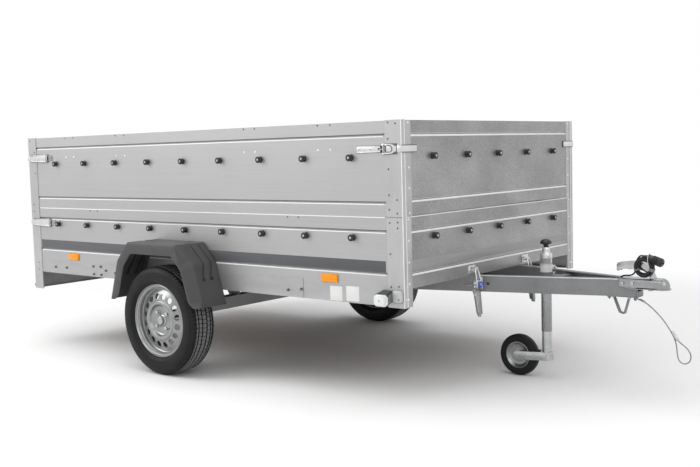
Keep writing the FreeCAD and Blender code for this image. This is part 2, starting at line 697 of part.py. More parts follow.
def extension_posts():
    """Upper posts with the pins that carry the upper end boards."""
    bottom = joint + S.seat_gap
    height = top + S.post_rise - bottom
    axis_z = joint + S.hinge_gap + S.board_pin_inset
    made = []
    for end, profile, x, facing, wall_face in (
        ("front", front_post_profile(), front, -1, half - S.front_post_strip + S.post_sheet),
        ("rear", rear_post_profile(), rear, 1, skin),
    ):
        shell = padded("extension_" + end, profile, height, x, -half, bottom, PLAN)
        face = end_face if facing < 0 else rear + S.face_inset
        length = S.board_pin_reach + S.swing_gap + S.post_sheet
        pin = rod(
            "extension_pin_" + end, face + S.board_pin_inset * facing, -wall_face, axis_z, S.board_pin_radius,
            length, ALONG_Y,
        )
        made.append(fused("extension_post_" + end, [shell, pin]))
    grouped("extension_posts", made + [mirrored("extension_mirror" + str(i), one) for i, one in enumerate(made)])


# Frame of the box


def channel(depth, height, wall, facing=1):
    """A channel section with its back at u = 0."""
    f = facing
    return [
        (ZERO, ZERO), (depth * f, ZERO), (depth * f, wall), (wall * f, wall),
        (wall * f, height - wall), (depth * f, height - wall), (depth * f, height), (ZERO, height),
    ]


def box_frame():
    """Side rails, cross members, rail plates, ears and floor."""
    rail_front = front - S.front_post_return - S.seat_gap
    rail = padded(
        "side_rail", channel(S.rail_flange, S.frame_height, S.rail_sheet), rail_front - side_rear,
        side_rear, -skin, S.frame_bottom, END,
    )
    both_sides("side_rails", rail)
    half_in = inside - S.seat_gap * 3
    hats = [(front - S.hat_inset) * (1 - i / FRONT_HATS) for i in range(FRONT_HATS)]
    hats.append(side_rear + S.member_flange / 2)
    wall, wide, tall = S.rail_sheet, S.hat_width, S.floor_lift
    made = []
    for number, x in enumerate(hats):
        hat = [
            (ZERO, ZERO), (wall, ZERO), (wall, tall - wall), (wide - wall, tall - wall),
            (wide - wall, ZERO), (wide, ZERO), (wide, tall), (ZERO, tall),
        ]
        made.append(padded("hat" + str(number), hat, half_in * 2, x, half_in, deck, SIDE))
    half_deep = skin - S.rail_flange - S.seat_gap
    for number in range(DEEP_MEMBERS):
        x = -S.deep_first - (S.box_rear - S.deep_first) * (number / DEEP_MEMBERS)
        section = channel(S.member_flange, S.frame_height + S.floor_lift, S.rail_sheet)
        made.append(padded("deep" + str(number), section, half_deep * 2, x, half_deep, S.frame_bottom, SIDE))
    sill = channel(S.member_flange / 2, S.frame_height, S.rail_sheet)
    half_sill = skin - S.seat_gap
    made.append(padded("rear_sill", sill, half_sill * 2, rear + S.sill_inset, half_sill, S.frame_bottom, SIDE))
    grouped("cross_members", made)

    plate = block(
        "rail_plate", -S.plate_rear, -skin - S.plate_sheet, S.frame_bottom, front - S.plate_inset + S.plate_rear,
        S.plate_sheet, S.frame_height + S.plate_rise,
    )
    both_sides("rail_plates", plate)
    block(
        "floor_panel", side_rear, -half_in, floor_under, side_front - side_rear, half_in * 2, S.floor_thickness,
        True,
    )


def tip_ears():
    """Ears on the first deep cross member that hang on the tipping pins."""
    back = -S.deep_first + S.rail_sheet
    low = S.frame_bottom + S.rail_sheet + S.seat_gap
    pin_x = -S.pivot_behind - back
    pin_z = S.pivot_height - low
    reach = S.ear_radius
    shape = [
        (ZERO, ZERO), (pin_x, pin_z - reach), (pin_x + reach, pin_z - reach / 2), (pin_x + reach, pin_z + reach / 2),
        (pin_x, pin_z + reach), (ZERO, pin_z + reach * 2),
    ]
    inner = bush_outer + S.ear_gap
    plate = padded("ear_plate", shape, S.ear_thickness, back, -inner, low, SIDE)
    hole = rod(
        "ear_hole", -S.pivot_behind, -inner - S.ear_thickness, S.pivot_height, S.pivot_radius + S.running_gap,
        S.ear_thickness, ALONG_Y,
    )
    both_sides("tip_ears", cut("ear", plate, hole))


# Drawbar


def leg_line(x):
    """Distance of the outer face of a drawbar leg from the middle, at x."""
    run = S.leg_nose + S.leg_rear
    return S.leg_nose_half + (S.leg_rear_half - S.leg_nose_half) * ((S.leg_nose - x) / run)


def drawbar_legs():
    """Two channels that meet at the nose, each with a bush at its rear end."""
    ends = (-S.leg_rear, S.leg_nose)
    meet = S.leg_nose - (S.leg_flange - S.leg_nose_half) / (
        (S.leg_rear_half - S.leg_nose_half) / (S.leg_nose + S.leg_rear)
    )
    bottom = S.frame_bottom
    outer = [(x - ends[0], leg_line(x)) for x in ends]
    web = outer + [(outer[1][0], outer[1][1] - S.leg_sheet), (outer[0][0], outer[0][1] - S.leg_sheet)]
    middle = S.seat_gap / 2
    flange = outer + [
        (outer[1][0], middle),
        (meet - ends[0], middle),
        (outer[0][0], outer[0][1] - S.leg_flange),
    ]
    body = new_body("drawbar_leg", ends[0], ZERO, bottom, PLAN)
    pad(body, outline(body, "leg_web", web), S.leg_height, "leg_web_pad")
    pad(body, outline(body, "leg_low", flange), S.leg_sheet, "leg_low_pad")
    pad(body, outline(body, "leg_high", flange, S.leg_height - S.leg_sheet), S.leg_sheet, "leg_high_pad")
    start = bush_outer - S.bush_length
    bush = rod("leg_bush", -S.pivot_behind, start, S.pivot_height, S.bush_radius, S.bush_length, ALONG_Y)
    bore = rod(
        "leg_bush_bore", -S.pivot_behind, start - S.leg_flange, S.pivot_height, S.pivot_radius + S.running_gap,
        S.bush_length + S.leg_flange * 2, ALONG_Y,
    )
    cut("drawbar_leg_left", fused("leg_with_bush", [body, bush]), bore, True)
    mirrored("drawbar_leg_right", NODES[-1], True)
    pin_start = start
    pin_length = S.bush_length + S.ear_gap + S.ear_thickness + S.pin_over
    pin = rod("tip_pin", -S.pivot_behind, pin_start, S.pivot_height, S.pivot_radius, pin_length, ALONG_Y)
    both_sides("tip_pins", pin)


def crossbar():
    """The bar between the legs that carries the jockey wheel's clamp."""
    x, size = S.crossbar_ahead, S.crossbar_size
    z = leg_top - S.crossbar_drop - size
    near = leg_line(x) - S.leg_sheet - S.seat_gap
    far = leg_line(x + size) - S.leg_sheet - S.seat_gap
    wall = S.leg_sheet
    bar = padded(
        "crossbar_tube", [(ZERO, -near), (size, -far), (size, far), (ZERO, near)], size, x, ZERO, z, PLAN
    )
    height = S.jockey_clamp_height
    z_clamp = leg_top - height
    ring = rod("clamp_ring", S.jockey_ahead, S.jockey_side, z_clamp, S.jockey_clamp_radius, height, UPRIGHT)
    lug = block(
        "clamp_lug", S.jockey_ahead, S.jockey_side - S.jockey_clamp_radius, z, x - S.jockey_ahead,
        S.jockey_clamp_radius * 2, size,
    )
    bore = rod(
        "clamp_bore", S.jockey_ahead, S.jockey_side, z_clamp - wall, S.jockey_tube_radius + S.seat_gap / 2,
        height + wall * 2, UPRIGHT,
    )
    cut("drawbar_crossbar", fused("crossbar_solid", [bar, ring, lug]), bore, True)


def coupling():
    """The pressed coupling head with its ball socket, and its lever."""
    x, z = S.coupling_ahead, S.coupling_height
    shell = S.socket_radius + S.coupling_wall
    skirt = -S.socket_skirt
    dome = bind(doc.addObject("Part::Sphere", "coupling_dome"), Radius=shell)
    place(dome, x, ZERO, z)
    collar = rod("coupling_collar", x, ZERO, z + skirt, shell, S.socket_skirt, UPRIGHT)
    lip = rod("coupling_lip", x, ZERO, z + skirt, S.coupling_lip, S.coupling_lip_height, UPRIGHT)
    roof = leg_top + S.coupling_sheet
    clamp_front = S.leg_nose + S.coupling_wall
    clamp_rear = clamp_front - S.coupling_clamp_length
    half_clamp = S.coupling_clamp_half
    plan = [
        (ZERO, -half_clamp), (S.coupling_clamp_length, -half_clamp + S.coupling_wall),
        (x - clamp_rear, -S.coupling_neck_half), (x - clamp_rear, S.coupling_neck_half),
        (S.coupling_clamp_length, half_clamp - S.coupling_wall), (ZERO, half_clamp),
    ]
    depth = S.coupling_clamp_drop
    body = padded("coupling_body", plan, depth, clamp_rear, ZERO, roof - depth, PLAN)
    solid = fused("coupling_solid", [dome, collar, lip, body])
    below = block(
        "coupling_below", x - shell * 2, -shell * 2, z + skirt - shell * 2, shell * 4, shell * 4, shell * 2
    )
    nose = [
        (ZERO, -leg_line(clamp_rear) - S.seat_gap), (S.leg_nose + S.seat_gap - clamp_rear, -S.leg_nose_half - S.seat_gap),
        (S.leg_nose + S.seat_gap - clamp_rear, S.leg_nose_half + S.seat_gap), (ZERO, leg_line(clamp_rear) + S.seat_gap),
    ]
    hollow = padded("coupling_hollow", nose, S.leg_height, clamp_rear, ZERO, leg_top + S.seat_gap - S.leg_height, PLAN)
    ball = bind(doc.addObject("Part::Sphere", "coupling_ball"), Radius=S.socket_radius)
    place(ball, x, ZERO, z)
    bore = rod("coupling_bore", x, ZERO, z + skirt, S.socket_radius, S.socket_skirt, UPRIGHT)
    tools = fused("coupling_tools", [below, hollow, fused("coupling_socket", [ball, bore])])
    cut("coupling_head", solid, tools, True)

    lever_x = x - S.lever_back - S.lever_length
    low = S.lever_height - S.lever_depth
    root = S.lever_length - S.lever_post
    bend = root - S.lever_post
    grip = [
        (ZERO, ZERO), (bend, ZERO), (root, roof - low), (S.lever_length, roof - low), (root, S.lever_depth),
        (ZERO, S.lever_depth),
    ]
    padded(
        "coupling_lever", grip, S.lever_width, lever_x, S.lever_width / 2, low, SIDE, True
    )


def nose_foot():
    """The plate under the nose with its bent foot."""
    z = S.frame_bottom
    plate = block(
        "nose_plate_block", S.leg_nose - S.nose_plate_length, -S.nose_plate_half, z - S.nose_plate,
        S.nose_plate_length, S.nose_plate_half * 2, S.nose_plate,
    )
    wide, drop, bar = S.foot_width, S.foot_drop, S.foot_bar
    apex, flat = wide / 2 + S.foot_lean, bar * 2
    low = z - S.nose_plate - drop
    shape = [
        (ZERO, drop), (apex - flat / 2, ZERO), (apex + flat / 2, ZERO), (wide, drop), (wide - bar, drop),
        (apex + flat / 2 - bar / 2, bar), (apex - flat / 2 + bar / 2, bar), (bar, drop),
    ]
    foot_x = S.leg_nose - S.nose_plate_length + S.foot_inset
    foot = padded("foot_bar", shape, S.foot_bar_width, foot_x, S.foot_bar_width / 2, low, SIDE)
    lug = block(
        "cable_lug", S.leg_nose - S.lug_inset, -S.lug_width / 2, z - S.nose_plate - S.lug_drop, S.lug_length, S.lug_width,
        S.lug_drop,
    )
    fused("nose_foot", [plate, foot, lug], True)


# Axle and wheels


def axle():
    """Square beam with saddles under the legs, and a swing arm with a stub at each end."""
    size = S.beam_size
    x0 = S.beam_ahead - size / 2
    beam = block("beam", x0, -S.beam_half, S.beam_height - size / 2, size, S.beam_half * 2, size)
    centre = leg_line(S.beam_ahead) - S.leg_flange / 2
    top_of_beam = S.beam_height + size / 2
    pieces = [beam]
    plate = block(
        "saddle_plate_block", S.beam_ahead - S.saddle_length / 2, centre - S.leg_flange / 2,
        S.frame_bottom - S.saddle_plate, S.saddle_length, S.leg_flange, S.saddle_plate,
    )
    rise = S.frame_bottom - S.saddle_plate - top_of_beam
    inset = (S.saddle_length - size) / 2
    web = padded(
        "saddle_web_plate",
        [(inset, ZERO), (inset + size, ZERO), (S.saddle_length, rise), (ZERO, rise)],
        S.saddle_web, S.beam_ahead - S.saddle_length / 2, centre + S.saddle_web / 2, top_of_beam, SIDE,
    )
    saddle = fused("saddle", [plate, web])
    pieces += [saddle, mirrored("saddle_mirror", saddle)]
    fused("axle_beam", pieces, True)

    y = S.beam_half
    fall = S.beam_height - S.wheel_radius
    root = rod("arm_root", S.beam_ahead, y, S.beam_height, S.arm_root_radius, S.arm_thickness, ALONG_Y)
    tip = rod("arm_tip", ZERO, y, S.wheel_radius, S.arm_tip_radius, S.arm_thickness, ALONG_Y)
    stub_length = S.track_half + S.rim_offset + S.hub_cap_length - S.hub_cap_wall - S.hub_end_play - y
    stub = rod("stub", ZERO, y, S.wheel_radius, S.stub_radius, stub_length, ALONG_Y)
    root_reach = S.arm_root_radius * ARM_WAIST_SHARE
    tip_reach = S.arm_tip_radius * ARM_WAIST_SHARE
    blade = padded(
        "arm_blade",
        [(ZERO, -tip_reach), (S.beam_ahead, fall - root_reach), (S.beam_ahead, fall + root_reach), (ZERO, tip_reach)],
        S.arm_thickness, ZERO, y + S.arm_thickness, S.wheel_radius, SIDE,
    )
    both_sides("swing_arms", fused("swing_arm", [root, tip, stub, blade]))


def wheel_pieces():
    """Tyre, rim and hub of the left wheel, and their mirror images."""
    centre, radius = S.track_half, S.wheel_radius
    wide, tread = S.tyre_width / 2, S.tyre_tread_half
    bead = S.rim_seat_radius + S.seat_gap
    hollow = radius - S.tyre_carcass
    shoulder = radius - S.tyre_shoulder_drop
    tyre = [
        (bead, centre - S.tyre_bead_half), (S.tyre_wall_radius, centre - wide),
        (shoulder, centre - wide + S.tyre_shoulder_drop), (radius, centre - tread),
        (radius, centre + tread), (shoulder, centre + wide - S.tyre_shoulder_drop),
        (S.tyre_wall_radius, centre + wide), (bead, centre + S.tyre_bead_half),
        (hollow, centre + S.tyre_bead_half), (hollow, centre - S.tyre_bead_half),
    ]
    turned("tyre_left", tyre, ZERO, ZERO, radius, PLAN, True)
    mirrored("tyre_right", NODES[-1], True)

    edge, seat, well = S.rim_flange_radius, S.rim_seat_radius, S.rim_well_radius
    flange, sill, wall = S.rim_flange_half, S.rim_seat_half, S.rim_sheet
    face = centre + S.rim_offset
    shelf = face + S.disc_shelf_height
    dome = face + S.disc_dome_height
    barrel = [
        (edge, centre - flange), (seat, centre - sill), (seat, centre + sill), (edge, centre + flange),
        (edge - wall, centre + flange), (well, centre + sill - wall), (well, shelf + wall),
        (S.disc_dome_radius + wall, shelf + wall), (S.disc_dome_radius, dome),
        (S.disc_dome_inner, dome), (S.disc_seat_radius, face + wall), (S.disc_bore_radius, face + wall),
        (S.disc_bore_radius, face), (S.disc_seat_radius + wall, face),
        (S.disc_dome_inner + wall, dome - wall), (S.disc_dome_radius - wall, dome - wall),
        (S.disc_dome_radius, shelf), (well, shelf), (well, centre - sill + wall), (edge - wall, centre - flange),
    ]
    body = turned("rim_left", barrel, ZERO, ZERO, radius, PLAN, True)
    doc.recompute()
    plane = next(f for f in body.Origin.OriginFeatures if f.Role == "XZ_Plane")
    circle = body.newObject("Sketcher::SketchObject", "vent_sketch")
    circle.AttachmentSupport = (plane, [""])
    circle.MapMode = "FlatFace"
    circle.addGeometry(Part.Circle(Vector(0, S.vent_circle.value, 0), Vector(0, 0, 1), S.vent_radius.value), False)
    circle.addConstraint(
        [
            Sketcher.Constraint("PointOnObject", 0, 3, -2),
            Sketcher.Constraint("DistanceY", -1, 1, 0, 3, S.vent_circle.value),
            Sketcher.Constraint("Radius", 0, S.vent_radius.value),
        ]
    )
    circle.setExpression("Constraints[1]", S.vent_circle.text)
    circle.setExpression("Constraints[2]", S.vent_radius.text)
    vent = body.newObject("PartDesign::Pocket", "vent")
    vent.Profile = circle
    vent.Type = 1
    vent.Reversed = False
    vent.Midplane = True
    doc.recompute()
    pattern = body.newObject("PartDesign::PolarPattern", "vents")
    pattern.Originals = [vent]
    pattern.Axis = (circle, ["N_Axis"])
    pattern.Angle = FULL_TURN
    pattern.Occurrences = VENTS
    body.Tip = pattern
    doc.recompute()
    mirrored("rim_right", body, True)

    bore = S.stub_radius + S.running_gap
    cap_end = face + S.hub_cap_length
    hub = [
        (bore, face - S.hub_length), (S.hub_body_radius, face - S.hub_length),
        (S.hub_body_radius, face - S.hub_flange_thickness), (S.hub_flange_radius, face - S.hub_flange_thickness),
        (S.hub_flange_radius, face), (S.hub_cap_radius, face), (S.hub_cap_radius, cap_end - S.hub_cap_wall),
        (S.hub_cap_radius - S.hub_cap_wall / 2, cap_end), (ZERO, cap_end), (ZERO, cap_end - S.hub_cap_wall),
        (bore, cap_end - S.hub_cap_wall),
    ]
    turned("hub_left", hub, ZERO, ZERO, radius, PLAN, True)
    mirrored("hub_right", NODES[-1], True)


# Mudguards


def arch(depth):
    """Half the outline of a mudguard, from its rear foot to its front foot, moved in by a depth."""
    reach = S.mudguard_length / 2
    tall = S.mudguard_top - S.mudguard_foot
    kink_x = reach * (MUDGUARD_KINK_SHARES[0] * 2)
    kink_z = tall * MUDGUARD_KINK_SHARES[1]
    flat = reach * (MUDGUARD_TOP_SHARE * 2)
    slack = depth / 2
    half_way = [
        (reach - depth, ZERO), (kink_x - depth + slack / 4, kink_z - slack / 2), (flat - slack / 2, tall - depth),
    ]
    return [(-u, v) for u, v in half_way] + half_way[::-1]


def mudguards():
    """Moulded mudguards with an outer and an inner lip."""
    inner = skin + S.plate_sheet + S.seat_gap
    width = S.track_half + S.tyre_width / 2 + S.mudguard_clear + S.mudguard_sheet - inner
    body = new_body("mudguard_right", -S.mudguard_behind, -inner, S.mudguard_foot, SIDE, True)
    shell = arch(ZERO) + arch(S.mudguard_sheet)[::-1]
    lip = arch(ZERO) + arch(S.mudguard_lip)[::-1]
    small = arch(ZERO) + arch(S.mudguard_inner_lip)[::-1]
    pad(body, outline(body, "mudguard_shell", shell), width, "mudguard_shell_pad")
    pad(body, outline(body, "mudguard_lip_outline", lip, width - S.mudguard_sheet), S.mudguard_sheet, "mudguard_lip_pad")
    pad(body, outline(body, "mudguard_inner_outline", small), S.mudguard_sheet, "mudguard_inner_pad")
    mirrored("mudguard_left", body, True)


# Lamps, reflectors and buffers


def rear_lamps():
    """The panel under the rear sill with its lamps and rubber buffers."""
    face = rear + S.sill_inset
    z = S.frame_bottom - S.panel_height
    half_width = skin - S.seat_gap
    shape = [
        (ZERO, ZERO), (S.panel_lip, ZERO), (S.panel_lip, S.panel_sheet), (S.panel_sheet, S.panel_sheet),
        (S.panel_sheet, S.panel_height), (ZERO, S.panel_height),
    ]
    padded("rear_lamp_panel", shape, half_width * 2, face, half_width, z, SIDE, True)
    buffer_y = half - S.buffer_inset
    edge = buffer_y - S.buffer_radius - S.lamp_edge
    low = z + (S.panel_height - S.lamp_height) / 2
    both_sides(
        "rear_lamps",
        block("rear_lamp", face - S.lamp_depth, edge - S.lamp_width, low, S.lamp_depth, S.lamp_width, S.lamp_height),
    )
    both_sides(
        "buffers",
        rod(
            "buffer", face - S.buffer_length, buffer_y, S.buffer_height, S.buffer_radius, S.buffer_length,
            ALONG_X,
        ),
    )


def side_lights():
    """Side reflectors and the front position lamps on their rubber arms."""
    made = []
    for number, x in enumerate((front - S.reflector_front, rear + S.reflector_rear)):
        made.append(
            block(
                "reflector" + str(number), x, skin, S.reflector_bottom, S.reflector_length, S.reflector_depth,
                S.reflector_height,
            )
        )
    made += [mirrored("reflector_mirror" + str(i), one) for i, one in enumerate(made)]
    grouped("side_reflectors", made)
    x = front - S.marker_inset
    lamp = block(
        "marker", x, half + S.marker_out, S.marker_bottom, S.marker_length, S.marker_width, S.marker_height
    )
    both_sides("front_lamps", lamp)
    middle = S.marker_bottom + (S.marker_height - S.marker_arm) / 2
    arm = block(
        "marker_arm_block", x + S.marker_length / 2, half, middle, S.marker_arm, S.marker_out,
        S.marker_arm,
    )
    both_sides("lamp_arms", arm)


# Rope knobs and latches


def knob(label, x, y, z, turn):
    """A round rope knob standing on a face."""
    return rod(label, x, y, z, S.rope_knob_radius, S.rope_knob_height, turn)


def rope_knobs():
    """Rows of rope knobs on the sides and ends."""
    made = []
    run = S.box_length - S.side_knob_rear - S.side_knob_front
    for row, z in (("upper", S.rope_knob_upper), ("lower", S.rope_knob_lower)):
        for number in range(SIDE_KNOBS):
            x = rear + S.side_knob_rear + run * (number / (SIDE_KNOBS - 1))
            made.append(knob("knob_" + row + str(number), x, skin, z, ALONG_Y))
    made += [mirrored("knob_mirror" + str(i), one) for i, one in enumerate(made)]
    outermost = half - S.end_knob_inset
    fronts = {"rope_knobs": made, "front_knobs": [], "rear_knobs": [], "tailgate_knobs": []}
    rear_start = rear + S.face_inset - S.rope_knob_height
    for number in range(END_KNOBS):
        y = outermost * (number * 2 / (END_KNOBS - 1) - 1)
        tag = str(number)
        fronts["rope_knobs"].append(knob("knob_front_low" + tag, end_face, y, S.rope_knob_lower, ALONG_X))
        fronts["front_knobs"].append(knob("knob_front_high" + tag, end_face, y, S.rope_knob_upper, ALONG_X))
        fronts["rear_knobs"].append(knob("knob_rear_high" + tag, rear_start, y, S.rope_knob_upper, ALONG_X))
        fronts["tailgate_knobs"].append(knob("knob_rear_low" + tag, rear_start, y, S.rope_knob_lower, ALONG_X))
    for label, pieces in fronts.items():
        grouped(label, pieces)


def latch(label, end, facing, level):
    """An over-centre latch on the left side whose lever starts beside a keeper."""
    low = level - S.latch_height / 2
    body_low = level - S.latch_body_height / 2
    outer = half + S.seat_gap
    if facing < 0:
        body_x = end - S.latch_body_length
        strap_x = body_x - S.latch_strap_length
    else:
        body_x = end
        strap_x = body_x + S.latch_body_length
    lever = block(
        label + "_lever", body_x, outer, body_low, S.latch_body_length, S.latch_body_depth, S.latch_body_height
    )
    strap = block(
        label + "_strap", strap_x, skin, low, S.latch_strap_length, outer - skin + S.strap_sheet, S.latch_height
    )
    return fused(label, [lever, strap])


def latches():
    """Six latches: front upper corners, rear upper and lower corners."""
    made = []
    reach = S.keeper_tab + S.keeper_gap
    front_end = front + S.seat_gap - reach
    rear_end = rear - S.seat_gap + reach
    for label, end, facing, level in (
        ("latch_front", front_end, -1, S.latch_upper),
        ("latch_rear_upper", rear_end, 1, S.latch_upper),
        ("latch_rear_lower", rear_end, 1, S.latch_lower),
    ):
        made.append(latch(label, end, facing, level))
    made += [mirrored("latch_mirror" + str(i), one) for i, one in enumerate(made)]
    grouped("latches", made)


def tipping_clamps():
    """Clamps on the drawbar legs, and their brackets on the front board."""
    x = front + S.clamp_out
    y = leg_line(x - S.clamp_width / 2) + S.seat_gap
    base = block(
        "clamp_base", x - S.clamp_width / 2, y, S.frame_bottom + S.clamp_plate, S.clamp_width, S.clamp_depth,
        S.leg_height - S.clamp_plate * 2,
    )
    lever = block(
        "clamp_lever", x - S.clamp_width / 2, y + S.clamp_depth, S.clamp_bottom, S.clamp_lever_width,
        S.clamp_lever_plate, S.frame_bottom + S.leg_height / 2 - S.clamp_bottom,
    )
    both_sides("tip_clamps", fused("tip_clamp", [base, lever]))
    bracket = block(
        "clamp_bracket", end_face, S.clamp_side - S.clamp_width / 2, S.clamp_keeper_bottom, S.clamp_keeper_reach,
        S.clamp_width, S.clamp_keeper_top - S.clamp_keeper_bottom,
    )
    both_sides("clamp_brackets", bracket)
    clip_x = x - S.clamp_width / 2 + S.clamp_lever_width + S.seat_gap + S.clip_radius
    clip_y = y + S.clamp_depth
    rod(
        "lock_clip", clip_x, -clip_y - S.clip_thickness, S.frame_bottom + S.leg_height / 2, S.clip_radius,
        S.clip_thickness, ALONG_Y, True,
    )


# Jockey wheel


def jockey():
    """Outer tube with its head and crank, inner tube, fork and wheel."""
    x, y = S.jockey_ahead, S.jockey_side
    radius, bore = S.jockey_tube_radius, S.jockey_tube_bore
    low, high = S.jockey_tube_bottom, S.jockey_tube_top
    collar, head = S.jockey_collar_radius, S.jockey_head_radius
    crown = high + S.jockey_collar_height
    tube = [
        (bore, low), (radius, low), (radius, high), (collar, high), (collar, crown),
        (head, crown), (head, crown + S.jockey_head_height), (ZERO, crown + S.jockey_head_height),
        (ZERO, high), (bore, high),
    ]
    turned("jockey_tube", tube, x, y, ZERO, SIDE, True)
    stem = crown + S.jockey_head_height
    cap = stem + S.knob_stem_height
    knob_r = S.knob_radius
    handle = [
        (ZERO, stem), (S.knob_stem_radius, stem), (S.knob_stem_radius, cap),
        (knob_r, cap + S.knob_height / 3), (knob_r, cap + S.knob_height / 2),
        (knob_r / 2, cap + S.knob_height), (ZERO, cap + S.knob_height),
    ]
    turned("jockey_crank", handle, x, y, ZERO, SIDE, True)
    inner_radius = bore - S.running_gap
    inner_bore = inner_radius - S.jockey_inner_wall
    inner = [
        (inner_bore, S.jockey_inner_bottom), (inner_radius, S.jockey_inner_bottom),
        (inner_radius, S.jockey_inner_top), (inner_bore, S.jockey_inner_top),
    ]
    turned("jockey_inner_tube", inner, x, y, ZERO, SIDE, True)

    centre = S.jockey_wheel_radius
    arm_low = centre - S.fork_height / 2
    half_gap = S.jockey_wheel_width / 2 + S.fork_gap
    sleeve = rod("fork_sleeve", x, y, arm_low + S.fork_rise, half_gap + S.fork_plate / 2, S.fork_height, UPRIGHT)
    pieces = [sleeve]
    for sign, word in ((1, "a"), (-1, "b")):
        near = y + sign * (half_gap + S.fork_plate / 2) + S.fork_plate / 2
        tip = S.fork_height / 2
        shape = [
            (ZERO, tip / 2), (tip / 2, ZERO), (tip, ZERO), (S.jockey_trail + tip, S.fork_rise),
            (S.jockey_trail + tip, S.fork_rise + S.fork_height), (tip / 2, S.fork_height), (ZERO, S.fork_height - tip / 2),
        ]
        pieces.append(padded("fork_arm_" + word, shape, S.fork_plate, x - S.jockey_trail - tip, near, arm_low, SIDE))
    reach = half_gap + S.fork_plate * 2
    pieces.append(
        rod("fork_bolt", x - S.jockey_trail, y - reach, centre, S.fork_axle_radius, reach * 2, ALONG_Y)
    )
    hole = rod(
        "fork_bore", x, y, S.jockey_inner_bottom - S.seat_gap, inner_radius + S.running_gap, S.fork_height, UPRIGHT
    )
    cut("jockey_fork", fused("fork_solid", pieces), hole, True)

    wide, rim = S.jockey_wheel_width / 2, S.jockey_rim_radius
    shoulder = S.jockey_wheel_radius - wide / 3
    tyre = [
        (rim + S.seat_gap, -wide + wide / 5), (shoulder, -wide), (S.jockey_wheel_radius, -wide / 2),
        (S.jockey_wheel_radius, wide / 2), (shoulder, wide), (rim + S.seat_gap, wide - wide / 5),
    ]
    turned("jockey_tyre", tyre, x - S.jockey_trail, y, centre, PLAN, True)
    axle_bore = S.fork_axle_radius + S.running_gap
    web = wide / 3
    disc = [
        (axle_bore, -wide), (axle_bore * 2, -wide), (axle_bore * 2, -web), (rim - web, -web),
        (rim, -wide + wide / 5), (rim, wide - wide / 5), (rim - web, web), (axle_bore * 2, web),
        (axle_bore * 2, wide), (axle_bore, wide),
    ]
    turned("jockey_rim", disc, x - S.jockey_trail, y, centre, PLAN, True)


# Free cords


def route_wire(points, radius):
    """Straight runs joined by tangent arcs, each as large as its two runs allow."""
    runs = [(b - a).Length for a, b in zip(points, points[1:])]
    edges, radii = [], []
    at = points[0]
    for i in range(1, len(points) - 1):
        before = (points[i] - points[i - 1]).normalize()
        after = (points[i + 1] - points[i]).normalize()
        turn = before.getAngle(after)
        shorter = min(runs[i - 1], runs[i])
        bend = ROUTE_SHARE * shorter / math.tan(turn / 2)
        back = ROUTE_SHARE * shorter
        start = points[i] - before * back
        finish = points[i] + after * back
        inward = (after - before).normalize()
        centre = points[i] + inward * (bend / math.cos(turn / 2))
        middle = centre - inward * bend
        edges.append(Part.LineSegment(at, start).toShape())
        edges.append(Part.Arc(start, middle, finish).toShape())
        radii.append(bend)
        at = finish
    edges.append(Part.LineSegment(at, points[-1]).toShape())
    wire = Part.Wire(edges)
    print("cord radius", radius, "length", round(wire.Length, 1), "bends", [round(r, 1) for r in radii])
    return wire


def tube_along(label, points, radius):
    """A tube along a route, measured against its section times its length."""
    wire = route_wire(points, radius)
    first = (points[1] - points[0]).normalize()
    disc = Part.Wire(Part.makeCircle(radius, points[0], first))
    shape = wire.makePipeShell([disc], True, True)
    ideal = math.pi * radius ** 2 * wire.Length
    print(label, "volume over section times length", round(shape.Volume / ideal, 4))
    made = doc.addObject("Part::Feature", label)
    made.Shape = shape
    made.Placement = Placement(Vector(-shift.value, 0, 0), Rotation())
    return name(made, label, True)


ROUTE_SHARE = 0.45
HANK_BEVEL_SHARE = 0.42
PLUG_DROOP = 18
PLUG_TURN = Rotation(Vector(0, 1, 0), PLUG_DROOP) * Rotation(Vector(0, 0, 1), -90)
CABLE_POINTS = (
    (2061, -2, 414), (2083, -7, 412), (2113, -17, 402), (2154, -29, 377), (2195, -34, 340), (2226, -34, 297),
    (2246, -34, 261), (2254, -34, 229), (2256, -34, 194), (2265, -34, 167), (2288, -34, 158), (2312, -34, 173),
    (2314, -34, 205), (2296, -34, 229), (2270, -34, 246), (2251, -34, 264), (2236, -34, 290),
)
LEAD_POINTS = (
    (1990, 0, 460), (1990, -1, 484), (1998, -8, 506), (2022, -18, 514), (2048, -20, 514), (2069, -21, 527),
    (2072, -24, 552),
)


def cords():
    """Steel safety cable with its ferrules, and the electric lead with its hank and plug."""
    step = S.route_step.value
    tube_along("safety_cable", [Vector(*p) * step for p in CABLE_POINTS], S.cable_radius.value)
    tube_along("lead", [Vector(*p) * step for p in LEAD_POINTS], S.lead_radius.value)
    hank_x = S.coupling_ahead - S.hank_back
    ring, thick = S.hank_radius, S.hank_section
    bevel = thick * HANK_BEVEL_SHARE
    section = [
        (ring - thick, -bevel), (ring - bevel, -thick), (ring + bevel, -thick), (ring + thick, -bevel),
        (ring + thick, bevel), (ring + bevel, thick), (ring - bevel, thick), (ring - thick, bevel),
    ]
    turned("lead_hank", section, hank_x, -S.hank_side, S.hank_height, PLAN, True)
    plug_z = S.hank_height + S.hank_radius + S.hank_section
    plug = [
        (ZERO, ZERO), (S.plug_radius / 2, ZERO), (S.plug_radius / 2, S.plug_nose), (S.plug_radius, S.plug_nose),
        (S.plug_radius, S.plug_length), (ZERO, S.plug_length),
    ]
    turned("lead_plug", plug, hank_x, -S.hank_side, plug_z, PLUG_TURN, True)


